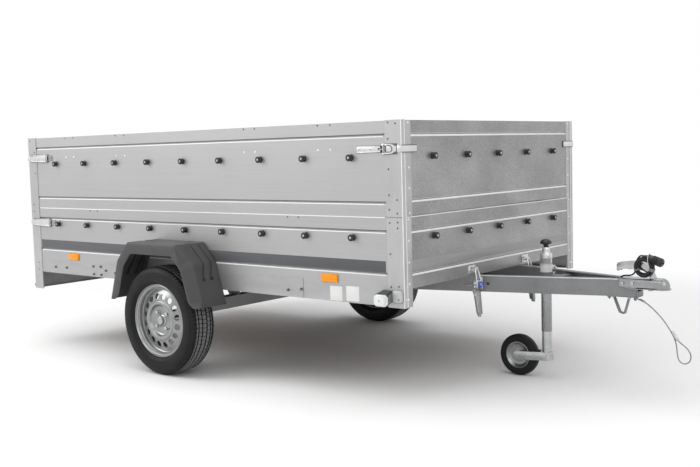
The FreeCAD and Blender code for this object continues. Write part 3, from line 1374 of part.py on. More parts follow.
def build():
    """Makes every piece of the trailer."""
    side_boards()
    front_board_lower()
    upper_end_board("front_board_upper", -1, half - S.front_post_strip - S.swing_gap)
    upper_end_board("rear_board_upper", 1, skin - S.swing_gap)
    tailgate()
    tailgate_hinge_plates()
    posts()
    extension_posts()
    box_frame()
    tip_ears()
    drawbar_legs()
    crossbar()
    coupling()
    nose_foot()
    axle()
    wheel_pieces()
    mudguards()
    rear_lamps()
    side_lights()
    rope_knobs()
    latches()
    tipping_clamps()
    jockey()
    cords()


def check_and_write():
    """Checks every object and writes each node's shape."""
    doc.recompute()
    bad = [o.Label for o in doc.Objects if "Invalid" in o.State or "Error" in o.State]
    if bad:
        raise RuntimeError("objects that failed: " + ", ".join(bad))
    labels = [node.Label for node in NODES]
    if len(set(labels)) != len(labels):
        raise RuntimeError("labels that repeat: " + ", ".join(labels))
    os.makedirs("parts", exist_ok=True)
    for node in NODES:
        if node.Shape.isNull() or not node.Shape.isValid():
            raise RuntimeError("shape that is not valid: " + node.Label)
    for node in NODES:
        node.Shape.exportStep("parts/" + node.Label + ".step")
        box = node.Shape.BoundBox
        print(
            node.Label, len(node.Shape.Solids), round(node.Shape.Volume),
            [round(v, 1) for v in (box.XMin, box.XMax, box.YMin, box.YMax, box.ZMin, box.ZMax)],
        )


build()
check_and_write()
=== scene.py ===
"""Visual model of a galvanised box trailer with folded boards, a tilting load box and a jockey wheel."""

import json
import logging
import math
from collections.abc import Callable, Sequence
from dataclasses import dataclass
from enum import Enum

import bmesh
import bpy
from mathutils import Matrix, Vector


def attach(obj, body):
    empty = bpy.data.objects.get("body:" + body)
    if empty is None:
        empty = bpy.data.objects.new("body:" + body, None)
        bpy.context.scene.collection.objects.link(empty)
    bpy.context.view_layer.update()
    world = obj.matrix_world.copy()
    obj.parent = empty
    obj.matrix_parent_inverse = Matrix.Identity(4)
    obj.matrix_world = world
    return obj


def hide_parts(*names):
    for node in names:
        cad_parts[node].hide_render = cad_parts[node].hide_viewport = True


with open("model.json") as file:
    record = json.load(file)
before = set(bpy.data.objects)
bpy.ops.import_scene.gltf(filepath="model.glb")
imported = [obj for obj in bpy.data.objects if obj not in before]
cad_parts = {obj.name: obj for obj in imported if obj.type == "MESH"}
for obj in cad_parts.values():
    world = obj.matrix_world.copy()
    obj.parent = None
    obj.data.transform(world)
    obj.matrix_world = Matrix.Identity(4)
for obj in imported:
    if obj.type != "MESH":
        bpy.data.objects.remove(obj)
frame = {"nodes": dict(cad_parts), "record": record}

log = logging.getLogger("trailer")

MM = 0.001
Point = tuple[float, float, float]
Flat = tuple[float, float]
Spot = tuple[Point, Point]
Tree = bpy.types.NodeTree
Socket = bpy.types.NodeSocket

# Angle in degrees from which an edge stays sharp.
SHARP_FROM = 38.0
# Outer faces, in millimetres: the side boards, the posts, the front boards and the rear boards.
SIDE_SKIN = 757.5
POST_FACE = 760.0
FRONT_SKIN = 946.5
REAR_SKIN = -1749.5


# Small tools


def linear(code: str) -> tuple[float, float, float, float]:
    """Turn an sRGB hex colour into linear light.

    Args:
        code: The colour, such as "#a0a2a4".

    Returns:
        Red, green, blue and an alpha of one.
    """
    channels = [int(code[i : i + 2], 16) / 255 for i in (1, 3, 5)]
    straight = [c / 12.92 if c <= 0.04045 else ((c + 0.055) / 1.055) ** 2.4 for c in channels]
    return (straight[0], straight[1], straight[2], 1.0)


def even(size: float) -> Point:
    """Return the same size along all three axes."""
    return (size, size, size)


def both_sides(places: Sequence[Flat], y: float) -> list[Spot]:
    """Return each place on the left and on the right of the trailer, facing outwards.

    Args:
        places: Where each stands along the trailer, and its height.
        y: Distance of the face from the trailer's middle.

    Returns:
        Each place with the way that it faces.
    """
    return [((x, s * y, z), (0.0, float(s), 0.0)) for x, z in places for s in (1, -1)]


def add_node(tree: Tree, kind: str, inputs: dict | None = None, **settings: object) -> bpy.types.Node:
    """Add a node, set it up and link what feeds it.

    Args:
        tree: The node tree that gets the node.
        kind: Blender's name for the kind of node.
        inputs: Socket name or number to a value, or to the output that feeds it.
        settings: Properties of the node itself.

    Returns:
        The new node.
    """
    node = tree.nodes.new(kind)
    for key, value in settings.items():
        setattr(node, key, value)
    for key, value in (inputs or {}).items():
        if isinstance(value, Socket):
            tree.links.new(value, node.inputs[key])
        else:
            node.inputs[key].default_value = value
    return node


def put(name: str, data: bpy.types.ID | None) -> bpy.types.Object:
    """Make an object of a mesh, curve, light or camera, and put it in the scene."""
    thing = bpy.data.objects.new(name, data)
    bpy.context.scene.collection.objects.link(thing)
    return thing


# Finishes


@dataclass(frozen=True)
class Finish:
    """A material whose colour, gloss and relief follow one mottled pattern, with painted light on its fold walls where
    asked.

    Sizes are in millimetres: grain is the fine pattern, cloud the broad one, and relief the height of the bumps.
    """

    name: str
    colour: str
    shade: str
    metallic: float = 0.0
    smooth: float = 0.4
    rough: float = 0.6
    grain: Point = even(3.0)
    cloud: Point = even(160.0)
    cloud_share: float = 0.5
    relief: float = 0.05
    coat: float = 0.0
    specular: float = 0.5
    # Painted fold light: how strongly fold walls are painted by the way they face, and the colours for walls facing
    # down and up.
    fold: float = 0.0
    down_wall_paint: str = "#55575a"
    up_wall_paint: str = "#fbfbfb"

    def material(self) -> bpy.types.Material:
        """Return this finish's material, made the first time that it is asked for."""
        known = bpy.data.materials.get(self.name)
        if known:
            return known
        made = bpy.data.materials.new(self.name)
        made.use_nodes = True
        tree = made.node_tree
        shader = tree.nodes["Principled BSDF"]
        where = add_node(tree, "ShaderNodeTexCoord").outputs["Object"]
        pattern, height = self.pattern(tree, where)
        colour = add_node(
            tree, "ShaderNodeMix", {0: pattern, 6: linear(self.shade), 7: linear(self.colour)}, data_type="RGBA"
        )
        gloss = add_node(tree, "ShaderNodeMapRange", {"Value": pattern, "To Min": self.rough, "To Max": self.smooth})
        bump = add_node(tree, "ShaderNodeBump", {"Height": height, "Distance": self.relief * MM, "Strength": 0.6})
        # Painted light: fold walls take colour and metal by the way they face.
        if self.fold:
            tint, metal = self.paint_fold_light(tree, colour.outputs[2])
            tree.links.new(tint, shader.inputs["Base Color"])
            tree.links.new(metal, shader.inputs["Metallic"])
        else:
            tree.links.new(colour.outputs[2], shader.inputs["Base Color"])
        tree.links.new(gloss.outputs[0], shader.inputs["Roughness"])
        tree.links.new(bump.outputs[0], shader.inputs["Normal"])
        if not self.fold:
            shader.inputs["Metallic"].default_value = self.metallic
        shader.inputs["Specular IOR Level"].default_value = self.specular
        if self.coat:
            shader.inputs["Coat Weight"].default_value = self.coat
            shader.inputs["Coat Roughness"].default_value = 0.12
        return made

    def paint_fold_light(self, tree: Tree, colour: Socket) -> tuple[Socket, Socket]:
        """Paint light and shade on the folds by which way each wall faces: walls facing up get the up-wall colour as
        painted highlight, walls facing down the down-wall colour, and both lose their metal.

        Args:
            tree: The material's node tree.
            colour: The sheet's own colour.

        Returns:
            The colour with its painted fold light, and how metallic it is.
        """
        normal = add_node(tree, "ShaderNodeTexCoord").outputs["Normal"]
        up = add_node(tree, "ShaderNodeSeparateXYZ", {0: normal}).outputs["Z"]
        under, over = (
            add_node(
                tree, "ShaderNodeMapRange",
                {"Value": up, "From Min": way * 0.15, "From Max": way * 0.35, "To Max": self.fold},
            ).outputs[0]
            for way in (-1, 1)
        )
        low = add_node(tree, "ShaderNodeMix", {0: under, 6: colour, 7: linear(self.down_wall_paint)}, data_type="RGBA")
        both = add_node(
            tree, "ShaderNodeMix", {0: over, 6: low.outputs[2], 7: linear(self.up_wall_paint)}, data_type="RGBA"
        )
        folded = add_node(tree, "ShaderNodeMath", {0: under, 1: over}, operation="ADD").outputs[0]
        metal = add_node(
            tree, "ShaderNodeMapRange", {"Value": folded, "From Max": 1.0, "To Min": self.metallic, "To Max": 0.0}
        )
        return both.outputs[2], metal.outputs[0]

    def noise(self, tree: Tree, where: Socket, size: Point, detail: float = 3.0) -> Socket:
        """Return noise whose lumps have the given size along each axis."""
        scaled = add_node(
            tree, "ShaderNodeVectorMath", {0: where, 1: tuple(1000.0 / s for s in size)}, operation="MULTIPLY"
        )
        return add_node(
            tree, "ShaderNodeTexNoise", {"Vector": scaled.outputs[0], "Scale": 1.0, "Detail": detail}
        ).outputs["Fac"]

    def pattern(self, tree: Tree, where: Socket) -> tuple[Socket, Socket]:
        """Lay out the pattern.

        Args:
            tree: The material's node tree.
            where: Object coordinates.

        Returns:
            The socket from 0 to 1 that mixes shade and colour, and the socket with the height of the surface.
        """
        fine = self.noise(tree, where, self.grain)
        broad = self.noise(tree, where, self.cloud, 4.0)
        both = add_node(tree, "ShaderNodeMix", {0: self.cloud_share, 2: fine, 3: broad})
        spread = add_node(
            tree, "ShaderNodeMapRange", {"Value": both.outputs[0], "From Min": 0.3, "From Max": 0.7}
        )
        return spread.outputs[0], fine


@dataclass(frozen=True)
class SpangledZinc(Finish):
    """Hot-dip galvanised steel: frozen zinc flowers of mixed brightness, with cloudy dull patches."""

    spangle: float = 11.0

    def pattern(self, tree: Tree, where: Socket) -> tuple[Socket, Socket]:
        """Mix the flowers with a broad cloud, as Finish.pattern does."""
        drift = self.noise(tree, where, (self.spangle,) * 3, 2.0)
        push = add_node(tree, "ShaderNodeVectorMath", {0: drift, 3: self.spangle * MM}, operation="SCALE")
        bent = add_node(tree, "ShaderNodeVectorMath", {0: where, 1: push.outputs[0]}, operation="ADD")
        cells = add_node(
            tree, "ShaderNodeTexVoronoi", {"Vector": bent.outputs[0], "Scale": 1000.0 / self.spangle, "Randomness": 1.0}
        )
        tone = add_node(tree, "ShaderNodeSeparateColor", {0: cells.outputs["Color"]}).outputs[0]
        broad = self.noise(tree, where, self.cloud, 5.0)
        spread = add_node(tree, "ShaderNodeMapRange", {"Value": broad, "From Min": 0.32, "From Max": 0.68})
        both = add_node(tree, "ShaderNodeMix", {0: self.cloud_share, 2: tone, 3: spread.outputs[0]})
        return both.outputs[0], tone


@dataclass(frozen=True)
class Prisms(Finish):
    """Clear moulded plastic over a field of small prisms, which throw light back from a reflector or lamp."""

    pitch: float = 3.0

    def pattern(self, tree: Tree, where: Socket) -> tuple[Socket, Socket]:
        """Lay the prisms side by side, as Finish.pattern does."""
        cells = add_node(
            tree,
            "ShaderNodeTexVoronoi",
            {"Vector": where, "Scale": 1000.0 / self.pitch, "Randomness": 0.0},
            distance="CHEBYCHEV",
        ).outputs["Distance"]
        spread = add_node(tree, "ShaderNodeMapRange", {"Value": cells, "From Min": 0.0, "From Max": 0.55})
        return spread.outputs[0], spread.outputs[0]


# Rolled aluminium-zinc sheet: an even grey with faint lines along the rolling direction, duller than zinc flowers. On
# its folds, walls facing up get painted highlight and walls facing down painted shade.
SHEET = Finish(
    "rolled_aluminium_zinc_sheet", "#b8b8b8", "#acacac", 0.7, 0.42, 0.52, (420.0, 3.0, 1.6), (700.0, 60.0, 260.0),
    0.5, 0.01, fold=1.0, down_wall_paint="#3a3b3c",
)
# Hot-dip galvanised sheet of the end boards: mid grey with fine zinc flowers about 4 mm across and dull clouds. On its
# folds, walls facing up and walls facing down both get near-white painted highlight.
ZINC = SpangledZinc(
    "galvanised_board_sheet", "#a8a8a8", "#868686", 0.75, 0.34, 0.50, cloud=(260.0, 260.0, 180.0), cloud_share=0.5,
    fold=1.0, down_wall_paint="#e4e4e4", spangle=4.0,
)
# The same sheet folded into the corner posts: cleaner and paler on its even flats.
POST_ZINC = SpangledZinc(
    "galvanised_post_sheet", "#bfbfbf", "#acacac", 0.7, 0.34, 0.48, cloud=(160.0, 160.0, 240.0), cloud_share=0.7,
    spangle=4.0,
)
# Galvanised profiles of the frame: the same zinc on thicker steel, duller and more even.
FRAME_ZINC = SpangledZinc(
    "galvanised_profile_steel", "#8b8c8d", "#7a7b7c", 0.6, 0.40, 0.55, cloud=even(160.0), cloud_share=0.7,
    spangle=5.0,
)
# Galvanised side rail: a rolled profile as pale as the boards that it carries.
RAIL_ZINC = SpangledZinc(
    "galvanised_rail_profile", "#b7b7b8", "#a7a7a8", 0.7, 0.38, 0.50, cloud=(300.0, 100.0, 60.0), cloud_share=0.7,
    spangle=4.0,
)
# Bright zinc plating on pins, latches and tubes: smooth and shiny, with fine handling marks.
PLATED = Finish(
    "bright_zinc_plating", "#c2c3c4", "#a6a8a9", 0.95, 0.20, 0.34, even(5.0), even(60.0), 0.6, 0.008
)
# Polished plating on the jockey's head, the toggles' hooks and the latches, which mirrors the pale room.
BRIGHT = Finish(
    "polished_zinc_plating", "#dedede", "#cacaca", 0.9, 0.30, 0.38, even(12.0), even(60.0), 0.6, 0.002
)
# The same plating over the drawn steel of coupling, lever and jockey tube: duller, with a soft grey reflection.
PRESSED = Finish(
    "zinc_plated_pressing", "#a3a4a6", "#919394", 0.9, 0.24, 0.34, even(6.0), even(70.0), 0.6, 0.006
)
# Silver wheel lacquer on pressed steel: a fine even metallic grain under a thin clear coat.
LACQUER = Finish(
    "silver_wheel_lacquer", "#9d9e9e", "#8a8b8b", 0.85, 0.24, 0.34, even(0.8), even(90.0), 0.3, 0.01, 0.25
)
# Tyre rubber: matt near-black, with a slightly grey bloom of dust.
TYRE = Finish(
    "tyre_rubber_compound", "#1b1b1c", "#131314", 0.0, 0.45, 0.62, even(2.5), even(60.0), 0.5, 0.05,
    specular=0.22,
)
# The worn top of the tread: the same rubber, scuffed pale by dust.
TREAD = Finish(
    "dusty_tread_rubber", "#8a8a8a", "#4a4a4b", 0.0, 0.70, 0.88, even(4.0), even(12.0), 0.3, 0.3,
    specular=0.2,
)
# Moulded polypropylene of the mudguards: dark grey, finely pebbled, a soft sheen.
MUDGUARD = Finish(
    "moulded_polypropylene", "#4d4d4e", "#434344", 0.0, 0.42, 0.55, even(1.2), even(120.0), 0.4, 0.06,
    specular=0.35,
)
# Painted shade in the mudguards' channels: the same plastic, painted near black along each channel's near wall and
# across its foot.
CHANNEL_PAINTED_SHADE = Finish("painted_channel_shade", "#1b1b1c", "#161617", 0.0, 0.55, 0.65, even(1.2), even(60.0), 0.4)
# Black nylon of the rope knobs and the jockey's grip: moulded and slightly glossy. The same black is painted shade on
# the discs over the drawbar legs' holes and in the latches' strap slots.
BLACK_NYLON_AND_PAINTED_SHADE = Finish("black_nylon_and_painted_shade", "#1d1d1f", "#141415", 0.0, 0.30, 0.45, even(0.8), even(20.0), 0.4)
# Black rubber of buffers, lamp arms and the lead's jacket: matt and soft-edged.
RUBBER = Finish("soft_black_rubber", "#232324", "#18181a", 0.0, 0.50, 0.68, even(1.5), even(30.0), 0.5)
# Film-faced plywood of the floor: warm brown with long dark grain lines.
PLYWOOD = Finish(
    "phenolic_faced_plywood", "#6d5138", "#4b3725", 0.0, 0.45, 0.62, (240.0, 5.0, 5.0), (900.0, 160.0, 160.0), 0.4, 0.05
)
# Amber acrylic reflectors: bright orange over tiny prisms that break up the light.
AMBER = Prisms("amber_reflector_acrylic", "#ffa312", "#f08a04", 0.0, 0.16, 0.26, relief=0.15, coat=0.2, specular=0.3)
# Red acrylic of the tail lamps: deep, glossy, over the same prisms.
RED = Prisms("red_lamp_acrylic", "#c8171c", "#8f0a10", 0.0, 0.12, 0.22, relief=0.4, coat=0.6)
# Clear acrylic of the front lamps and the reversing lamps: colourless, glossy.
CLEAR = Prisms("clear_lamp_acrylic", "#eceeee", "#c4c8ca", 0.1, 0.10, 0.20, relief=0.4, coat=0.6, pitch=4.0)
# Nearly white zinc: the pale plating of the jockey's clamp band and of the pale rivets, and painted highlight along the
# end boards' folds, the front board's hem and the drawbar legs' top edges.
PALE_ZINC_AND_PAINTED_HIGHLIGHT = Finish(
    "pale_zinc_and_painted_highlight", "#f2f2f2", "#e2e3e3", 0.2, 0.35, 0.45, even(3.0), even(60.0), 0.5, 0.01
)
# Painted highlight: near white, on the lower wall of each pressed fold of the side boards, on their hem and along the
# front posts' corners.
PAINTED_HIGHLIGHT = Finish("painted_highlight_white", "#fbfbfb", "#f2f2f2", 0.0, 0.45, 0.55, even(3.0), even(60.0), 0.5, 0.01)
# Painted shade on the upper wall of each pressed fold of the side boards and round the post pods; also the dark joint
# line across the front posts.
PAINTED_SHADE_AND_JOINT = Finish("painted_shade_and_dark_joint", "#6c6d6e", "#5e5f60", 0.2, 0.45, 0.55, even(3.0), even(60.0), 0.5, 0.01)
# Milky polyethylene of the pods on the front posts: translucent, waxy.
MILKY = Finish("milky_polyethylene", "#d6d6d5", "#bdbdbc", 0.0, 0.30, 0.40, even(2.0), even(30.0), 0.4, 0.01)
# Blue acetal of the lock clip: plain moulded, half glossy.
BLUE = Finish("blue_moulded_acetal", "#1a66e0", "#1458cc", 0.0, 0.28, 0.36, even(1.0), even(12.0), 0.4)
# Painted stripe on the boards: thin matt vinyl with a trace of the metal's lines in it.
STRIPE = Finish(
    "dark_grey_vinyl", "#58595c", "#515255", 0.0, 0.45, 0.55, (300.0, 3.0, 2.0), even(300.0), 0.4, 0.01
)
# The same vinyl as the side stripes, painted paler across the front board as painted light.
STRIPE_PAINTED_PALER = Finish(
    "vinyl_painted_paler", "#9b9b9b", "#919191", 0.3, 0.42, 0.52, (3.0, 300.0, 2.0), even(300.0), 0.4, 0.01
)
# Blank rating plates: thin satin aluminium foil and white label film.
PLATE = Finish("blank_white_label", "#e8e8e6", "#dededc", 0.0, 0.35, 0.45, even(2.0), even(40.0), 0.4, 0.01)
# Cable ties of the lead: grey and natural nylon. The grey is also painted light on the forward faces of the lamps'
# rubber arms.
GREY_TIE_AND_PAINTED_LIGHT = Finish("grey_nylon_and_painted_light", "#77797b", "#66686a", 0.0, 0.35, 0.45, even(1.0), even(20.0), 0.4)
PALE_TIE = Finish("natural_nylon_strap", "#d9d8d2", "#c6c5bf", 0.0, 0.35, 0.45, even(1.0), even(20.0), 0.4)
# Dull zinc of rivet heads and bolt heads that have weathered grey; the same colour is also painted shade round the
# latches and keepers and on the latches' wire loops.
DULL_ZINC_AND_PAINTED_SHADE = Finish("dull_zinc_and_painted_shade", "#75777a", "#56585b", 0.7, 0.40, 0.55, even(2.0), even(9.0), 0.5)
# Moulded amber rim round a reflector's prisms: plain and deeper in colour.
AMBER_RIM = Finish("amber_acrylic_rim", "#f0951a", "#e08210", 0.0, 0.20, 0.30, even(2.0), even(20.0), 0.4)
# Stranded steel wire of the breakaway cable: bright and slightly oily.
WIRE = Finish("stranded_steel_wire", "#a0a1a2", "#6c6d6e", 0.9, 0.28, 0.42, even(0.9), even(20.0), 0.3, 0.2)


# Forming


class Plane(Enum):
    """The plane that an outline is drawn in."""

    XZ = "across the trailer's side"
    XY = "on the ground"
    YZ = "across the trailer's end"


class Former:
    """Forms the parts of one piece, in millimetres, and turns them into an object."""

    def __init__(self) -> None:
        """Start with nothing formed, on the first finish."""
        self.whole = bmesh.new()
        self.finish = 0

    def add(self, part: bmesh.types.BMesh, edge: float = 0.0, turn: Matrix | None = None) -> None:
        """Clean a closed part, round its edges and put it with the others.

        Args:
            part: The new part, which is used up.
            edge: Radius of its sharp edges.
            turn: Where it goes.
        """
        bmesh.ops.remove_doubles(part, verts=part.verts, dist=1e-4)
        bmesh.ops.recalc_face_normals(part, faces=part.faces)
        if edge:
            sharp = [e for e in part.edges if len(e.link_faces) == 2 and e.calc_face_angle(0.0) > 0.5]
            bmesh.ops.bevel(part, geom=sharp, offset=edge, segments=2, profile=0.5, affect="EDGES", clamp_overlap=True)
        if turn:
            bmesh.ops.transform(part, matrix=turn, verts=part.verts)
        for face in part.faces:
            face.material_index = self.finish
        mesh = bpy.data.meshes.new("part")
        part.to_mesh(mesh)
        self.whole.from_mesh(mesh)
        bpy.data.meshes.remove(mesh)
        part.free()

    def lathe(
        self, profile: Sequence[Flat], origin: Point, axis: Point = (0, 0, 1), steps: int = 48, loop: bool = False,
        edge: float = 0.0,
    ) -> None:
        """Turn a profile round an axis.

        Args:
            profile: Radius and distance along the axis, from one end to the other.
            origin: Where the distance is zero.
            axis: Direction of the axis.
            steps: Flats round the circle.
            loop: Whether the last point joins the first.
            edge: Radius of the sharp edges.
        """
        part = bmesh.new()
        rings = []
        for radius, along in profile:
            if radius < 1e-6:
                rings.append([part.verts.new((0, 0, along))] * steps)
            else:
                turns = [math.tau * i / steps for i in range(steps)]
                rings.append([part.verts.new((radius * math.cos(a), radius * math.sin(a), along)) for a in turns])
        pairs = list(zip(rings, rings[1:])) + ([(rings[-1], rings[0])] if loop else [])
        for one, two in pairs:
            for i in range(steps):
                j = (i + 1) % steps
                corners = list(dict.fromkeys([one[i], one[j], two[j], two[i]]))
                if len(corners) > 2:
                    part.faces.new(corners)
        turn = Matrix.Translation(origin) @ Vector(axis).to_track_quat("Z", "Y").to_matrix().to_4x4()
        self.add(part, edge, turn)

    def prism(
        self, shape: Sequence[Flat], low: float, high: float, plane: Plane = Plane.XZ, edge: float = 0.0,
        turn: Matrix | None = None,
    ) -> None:
        """Extrude a flat outline.

        Args:
            shape: Corners of the outline in its plane.
            low: One end of the prism, across the plane.
            high: Its other end.
            plane: The plane of the outline.
            edge: Radius of the edges.
            turn: Where it goes.
        """
        part = bmesh.new()
        order: dict[Plane, Callable[[float, float, float], Point]] = {
            Plane.XZ: lambda u, v, w: (u, w, v),
            Plane.XY: lambda u, v, w: (u, v, w),
            Plane.YZ: lambda u, v, w: (w, u, v),
        }
        ends = [[part.verts.new(order[plane](u, v, w)) for u, v in shape] for w in sorted((low, high))]
        part.faces.new(ends[0])
        part.faces.new(ends[1])
        for i in range(len(shape)):
            j = (i + 1) % len(shape)
            part.faces.new((ends[0][i], ends[0][j], ends[1][j], ends[1][i]))
        self.add(part, edge, turn)

    def block(self, low: Point, high: Point, edge: float = 0.0, turn: Matrix | None = None) -> None:
        """Form a block between any two opposite corners, with rounded edges."""
        low, high = (tuple(pick(pair) for pair in zip(low, high)) for pick in (min, max))
        shape = [(low[0], low[2]), (high[0], low[2]), (high[0], high[2]), (low[0], high[2])]
        self.prism(shape, low[1], high[1], Plane.XZ, edge, turn)

    def bar(self, path: Sequence[Point], radius: float, steps: int = 16, taper: float = 1.0) -> None:
        """Bend a round bar along a path, with domed ends.

        Args:
            path: The middle of the bar.
            radius: Its radius.
            steps: Flats round it.
            taper: Share of the radius that is left at its end.
        """
        points = [Vector(p) for p in path]
        heads = [(points[min(i + 1, len(points) - 1)] - points[max(i - 1, 0)]).normalized() for i in range(len(points))]
        across = heads[0].orthogonal().normalized()
        rings: list[tuple[Vector, Vector, Vector, float]] = []
        for i, (point, head) in enumerate(zip(points, heads)):
            across = (across - head * across.dot(head)).normalized()
            rings.append((point, across.copy(), head.cross(across), radius * (1 + (taper - 1) * i / (len(points) - 1))))
        ends = (rings[0], -heads[0]), (rings[-1], heads[-1])
        caps = [
            [(p + way * r * math.sin(a), u, v, r * math.cos(a)) for a in (0.6, 1.15)]
            for (p, u, v, r), way in ends
        ]
        rings = caps[0][::-1] + rings + caps[1]
        part = bmesh.new()
        rows = []
        for p, u, v, r in rings:
            turns = [math.tau * i / steps for i in range(steps)]
            rows.append([part.verts.new(p + u * r * math.cos(a) + v * r * math.sin(a)) for a in turns])
        for one, two in zip(rows, rows[1:]):
            for i in range(steps):
                j = (i + 1) % steps
                part.faces.new((one[i], one[j], two[j], two[i]))
        part.faces.new(rows[0])
        part.faces.new(rows[-1])
        self.add(part)

    def loft(self, rings: Sequence[Sequence[Point]], edge: float = 0.0, turn: Matrix | None = None) -> None:
        """Skin a row of sections that have the same number of points, and close its ends."""
        part = bmesh.new()
        rows = [[part.verts.new(place) for place in ring] for ring in rings]
        for one, two in zip(rows, rows[1:]):
            for i in range(len(one)):
                j = (i + 1) % len(one)
                part.faces.new((one[i], one[j], two[j], two[i]))
        part.faces.new(rows[0])
        part.faces.new(rows[-1])
        self.add(part, edge, turn)

    def mirror(self) -> None:
        """Add the mirror image of everything so far on the other side of the trailer."""
        other = self.whole.copy()
        bmesh.ops.transform(other, matrix=Matrix.Diagonal((1, -1, 1, 1)), verts=other.verts)
        bmesh.ops.reverse_faces(other, faces=other.faces)
        mesh = bpy.data.meshes.new("part")
        other.to_mesh(mesh)
        self.whole.from_mesh(mesh)
        bpy.data.meshes.remove(mesh)
        other.free()

    def make(
        self, name: str, body: str, finishes: Sequence[Finish], stands_for: Sequence[str] = (),
        crease: float = SHARP_FROM,
    ) -> bpy.types.Object:
        """Turn what is formed into the finished piece.

        Args:
            name: The piece's name.
            body: The moving body that it belongs to.
            finishes: The finishes that its faces number.
            stands_for: Nodes of the solid model that it replaces.
            crease: Angle in degrees from which an edge stays sharp.

        Returns:
            The piece.
        """
        bmesh.ops.scale(self.whole, vec=(MM, MM, MM), verts=self.whole.verts)
        mesh = bpy.data.meshes.new(name)
        self.whole.to_mesh(mesh)
        self.whole.free()
        mesh.shade_smooth()
        mesh.set_sharp_from_angle(angle=math.radians(crease))
        return set_down(name, mesh, body, finishes, stands_for)


def set_down(
    name: str, mesh: bpy.types.Mesh, body: str, finishes: Sequence[Finish], stands_for: Sequence[str] = ()
) -> bpy.types.Object:
    """Make a piece of a mesh that is already in place.

    Args:
        name: The piece's name.
        mesh: Its mesh, or its curve.
        body: The moving body that it belongs to.
        finishes: Its finishes.
        stands_for: Nodes of the solid model that it replaces.

    Returns:
        The piece.
    """
    for finish in finishes:
        mesh.materials.append(finish.material())
    piece = put(name, mesh)
    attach(piece, body)
    if stands_for:
        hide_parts(*stands_for)
    log.info("%s: %d materials, on %s", name, len(finishes), body)
    return piece


@dataclass
class Layer:
    """One turned layer of a fastener: its size in millimetres and how far it starts above the surface."""

    radius: float
    top: float
    height: float
    lift: float
    finish: Finish
    sides: int = 16


class Fasteners:
    """A kind of knob, rivet or bolt that stands at many places, laid out by Geometry Nodes."""

    def __init__(self, name: str, layers: Sequence[Layer]) -> None:
        """Name the kind and keep its layers."""
        self.name = name
        self.layers = layers

    def tree(self) -> tuple[Tree, list[tuple[str, float]]]:
        """Build the node tree.

        Returns:
            The tree, and each input's identifier with the value that it takes.
        """
        tree = bpy.data.node_groups.new(self.name, "GeometryNodeTree")
        tree.interface.new_socket("Spots", in_out="INPUT", socket_type="NodeSocketGeometry")
        tree.interface.new_socket("Fasteners", in_out="OUTPUT", socket_type="NodeSocketGeometry")
        source = add_node(tree, "NodeGroupInput")
        facing = add_node(tree, "GeometryNodeInputNamedAttribute", {"Name": "facing"}, data_type="FLOAT_VECTOR")
        aim = add_node(tree, "FunctionNodeAlignRotationToVector", {"Vector": facing.outputs[0]}, axis="Z")
        joined = add_node(tree, "GeometryNodeJoinGeometry")
        values = []
        for number, layer in enumerate(self.layers, 1):
            sizes = {}
            for word, size in (
                ("radius", layer.radius), ("top radius", layer.top), ("height", layer.height), ("lift", layer.lift)
            ):
                socket = tree.interface.new_socket(
                    f"Layer {number} {word}", in_out="INPUT", socket_type="NodeSocketFloat"
                )
                values.append((socket.identifier, size * MM))
                sizes[word] = source.outputs[socket.name]
            cone = add_node(
                tree,
                "GeometryNodeMeshCone",
                {
                    "Vertices": layer.sides,
                    "Radius Bottom": sizes["radius"],
                    "Radius Top": sizes["top radius"],
                    "Depth": sizes["height"],
                },
            )
            lift = add_node(tree, "ShaderNodeCombineXYZ", {2: sizes["lift"]})
            moved = add_node(tree, "GeometryNodeTransform", {0: cone.outputs[0], "Translation": lift.outputs[0]})
            spots = add_node(
                tree,
                "GeometryNodeInstanceOnPoints",
                {"Points": source.outputs[0], "Instance": moved.outputs[0], "Rotation": aim.outputs[0]},
            )
            solid = add_node(tree, "GeometryNodeRealizeInstances", {0: spots.outputs[0]})
            dressed = add_node(
                tree, "GeometryNodeSetMaterial", {0: solid.outputs[0], "Material": layer.finish.material()}
            )
            tree.links.new(dressed.outputs[0], joined.inputs[0])
        end = add_node(tree, "NodeGroupOutput")
        tree.links.new(joined.outputs[0], end.inputs[0])
        return tree, values

    def place(
        self, spots: Sequence[Spot], name: str, body: str, slot: str, stands_for: Sequence[str] = ()
    ) -> None:
        """Set one fastener at each spot, as one piece.

        Args:
            spots: Each place, in millimetres, and the way that the fastener faces there.
            name: Name of the piece.
            body: The moving body that carries it.
            slot: The material slot of the record; not used.
            stands_for: Nodes of the solid model that it replaces.
        """
        mesh = bpy.data.meshes.new(name + "_spots")
        mesh.from_pydata([tuple(c * MM for c in place) for place, _ in spots], [], [])
        ways = mesh.attributes.new("facing", "FLOAT_VECTOR", "POINT")
        for i, (_, way) in enumerate(spots):
            ways.data[i].vector = way
        seed = put(name + "_spots", mesh)
        tree, values = self.tree()
        modifier = seed.modifiers.new("fasteners", "NODES")
        modifier.node_group = tree
        for identifier, value in values:
            modifier[identifier] = value
        graph = bpy.context.evaluated_depsgraph_get()
        solid = bpy.data.meshes.new_from_object(
            seed.evaluated_get(graph), preserve_all_data_layers=True, depsgraph=graph
        )
        bpy.data.objects.remove(seed)
        solid.name = name
        solid.shade_smooth()
        solid.set_sharp_from_angle(angle=math.radians(SHARP_FROM))
        set_down(name, solid, body, (), stands_for)


# Camera, floor and light


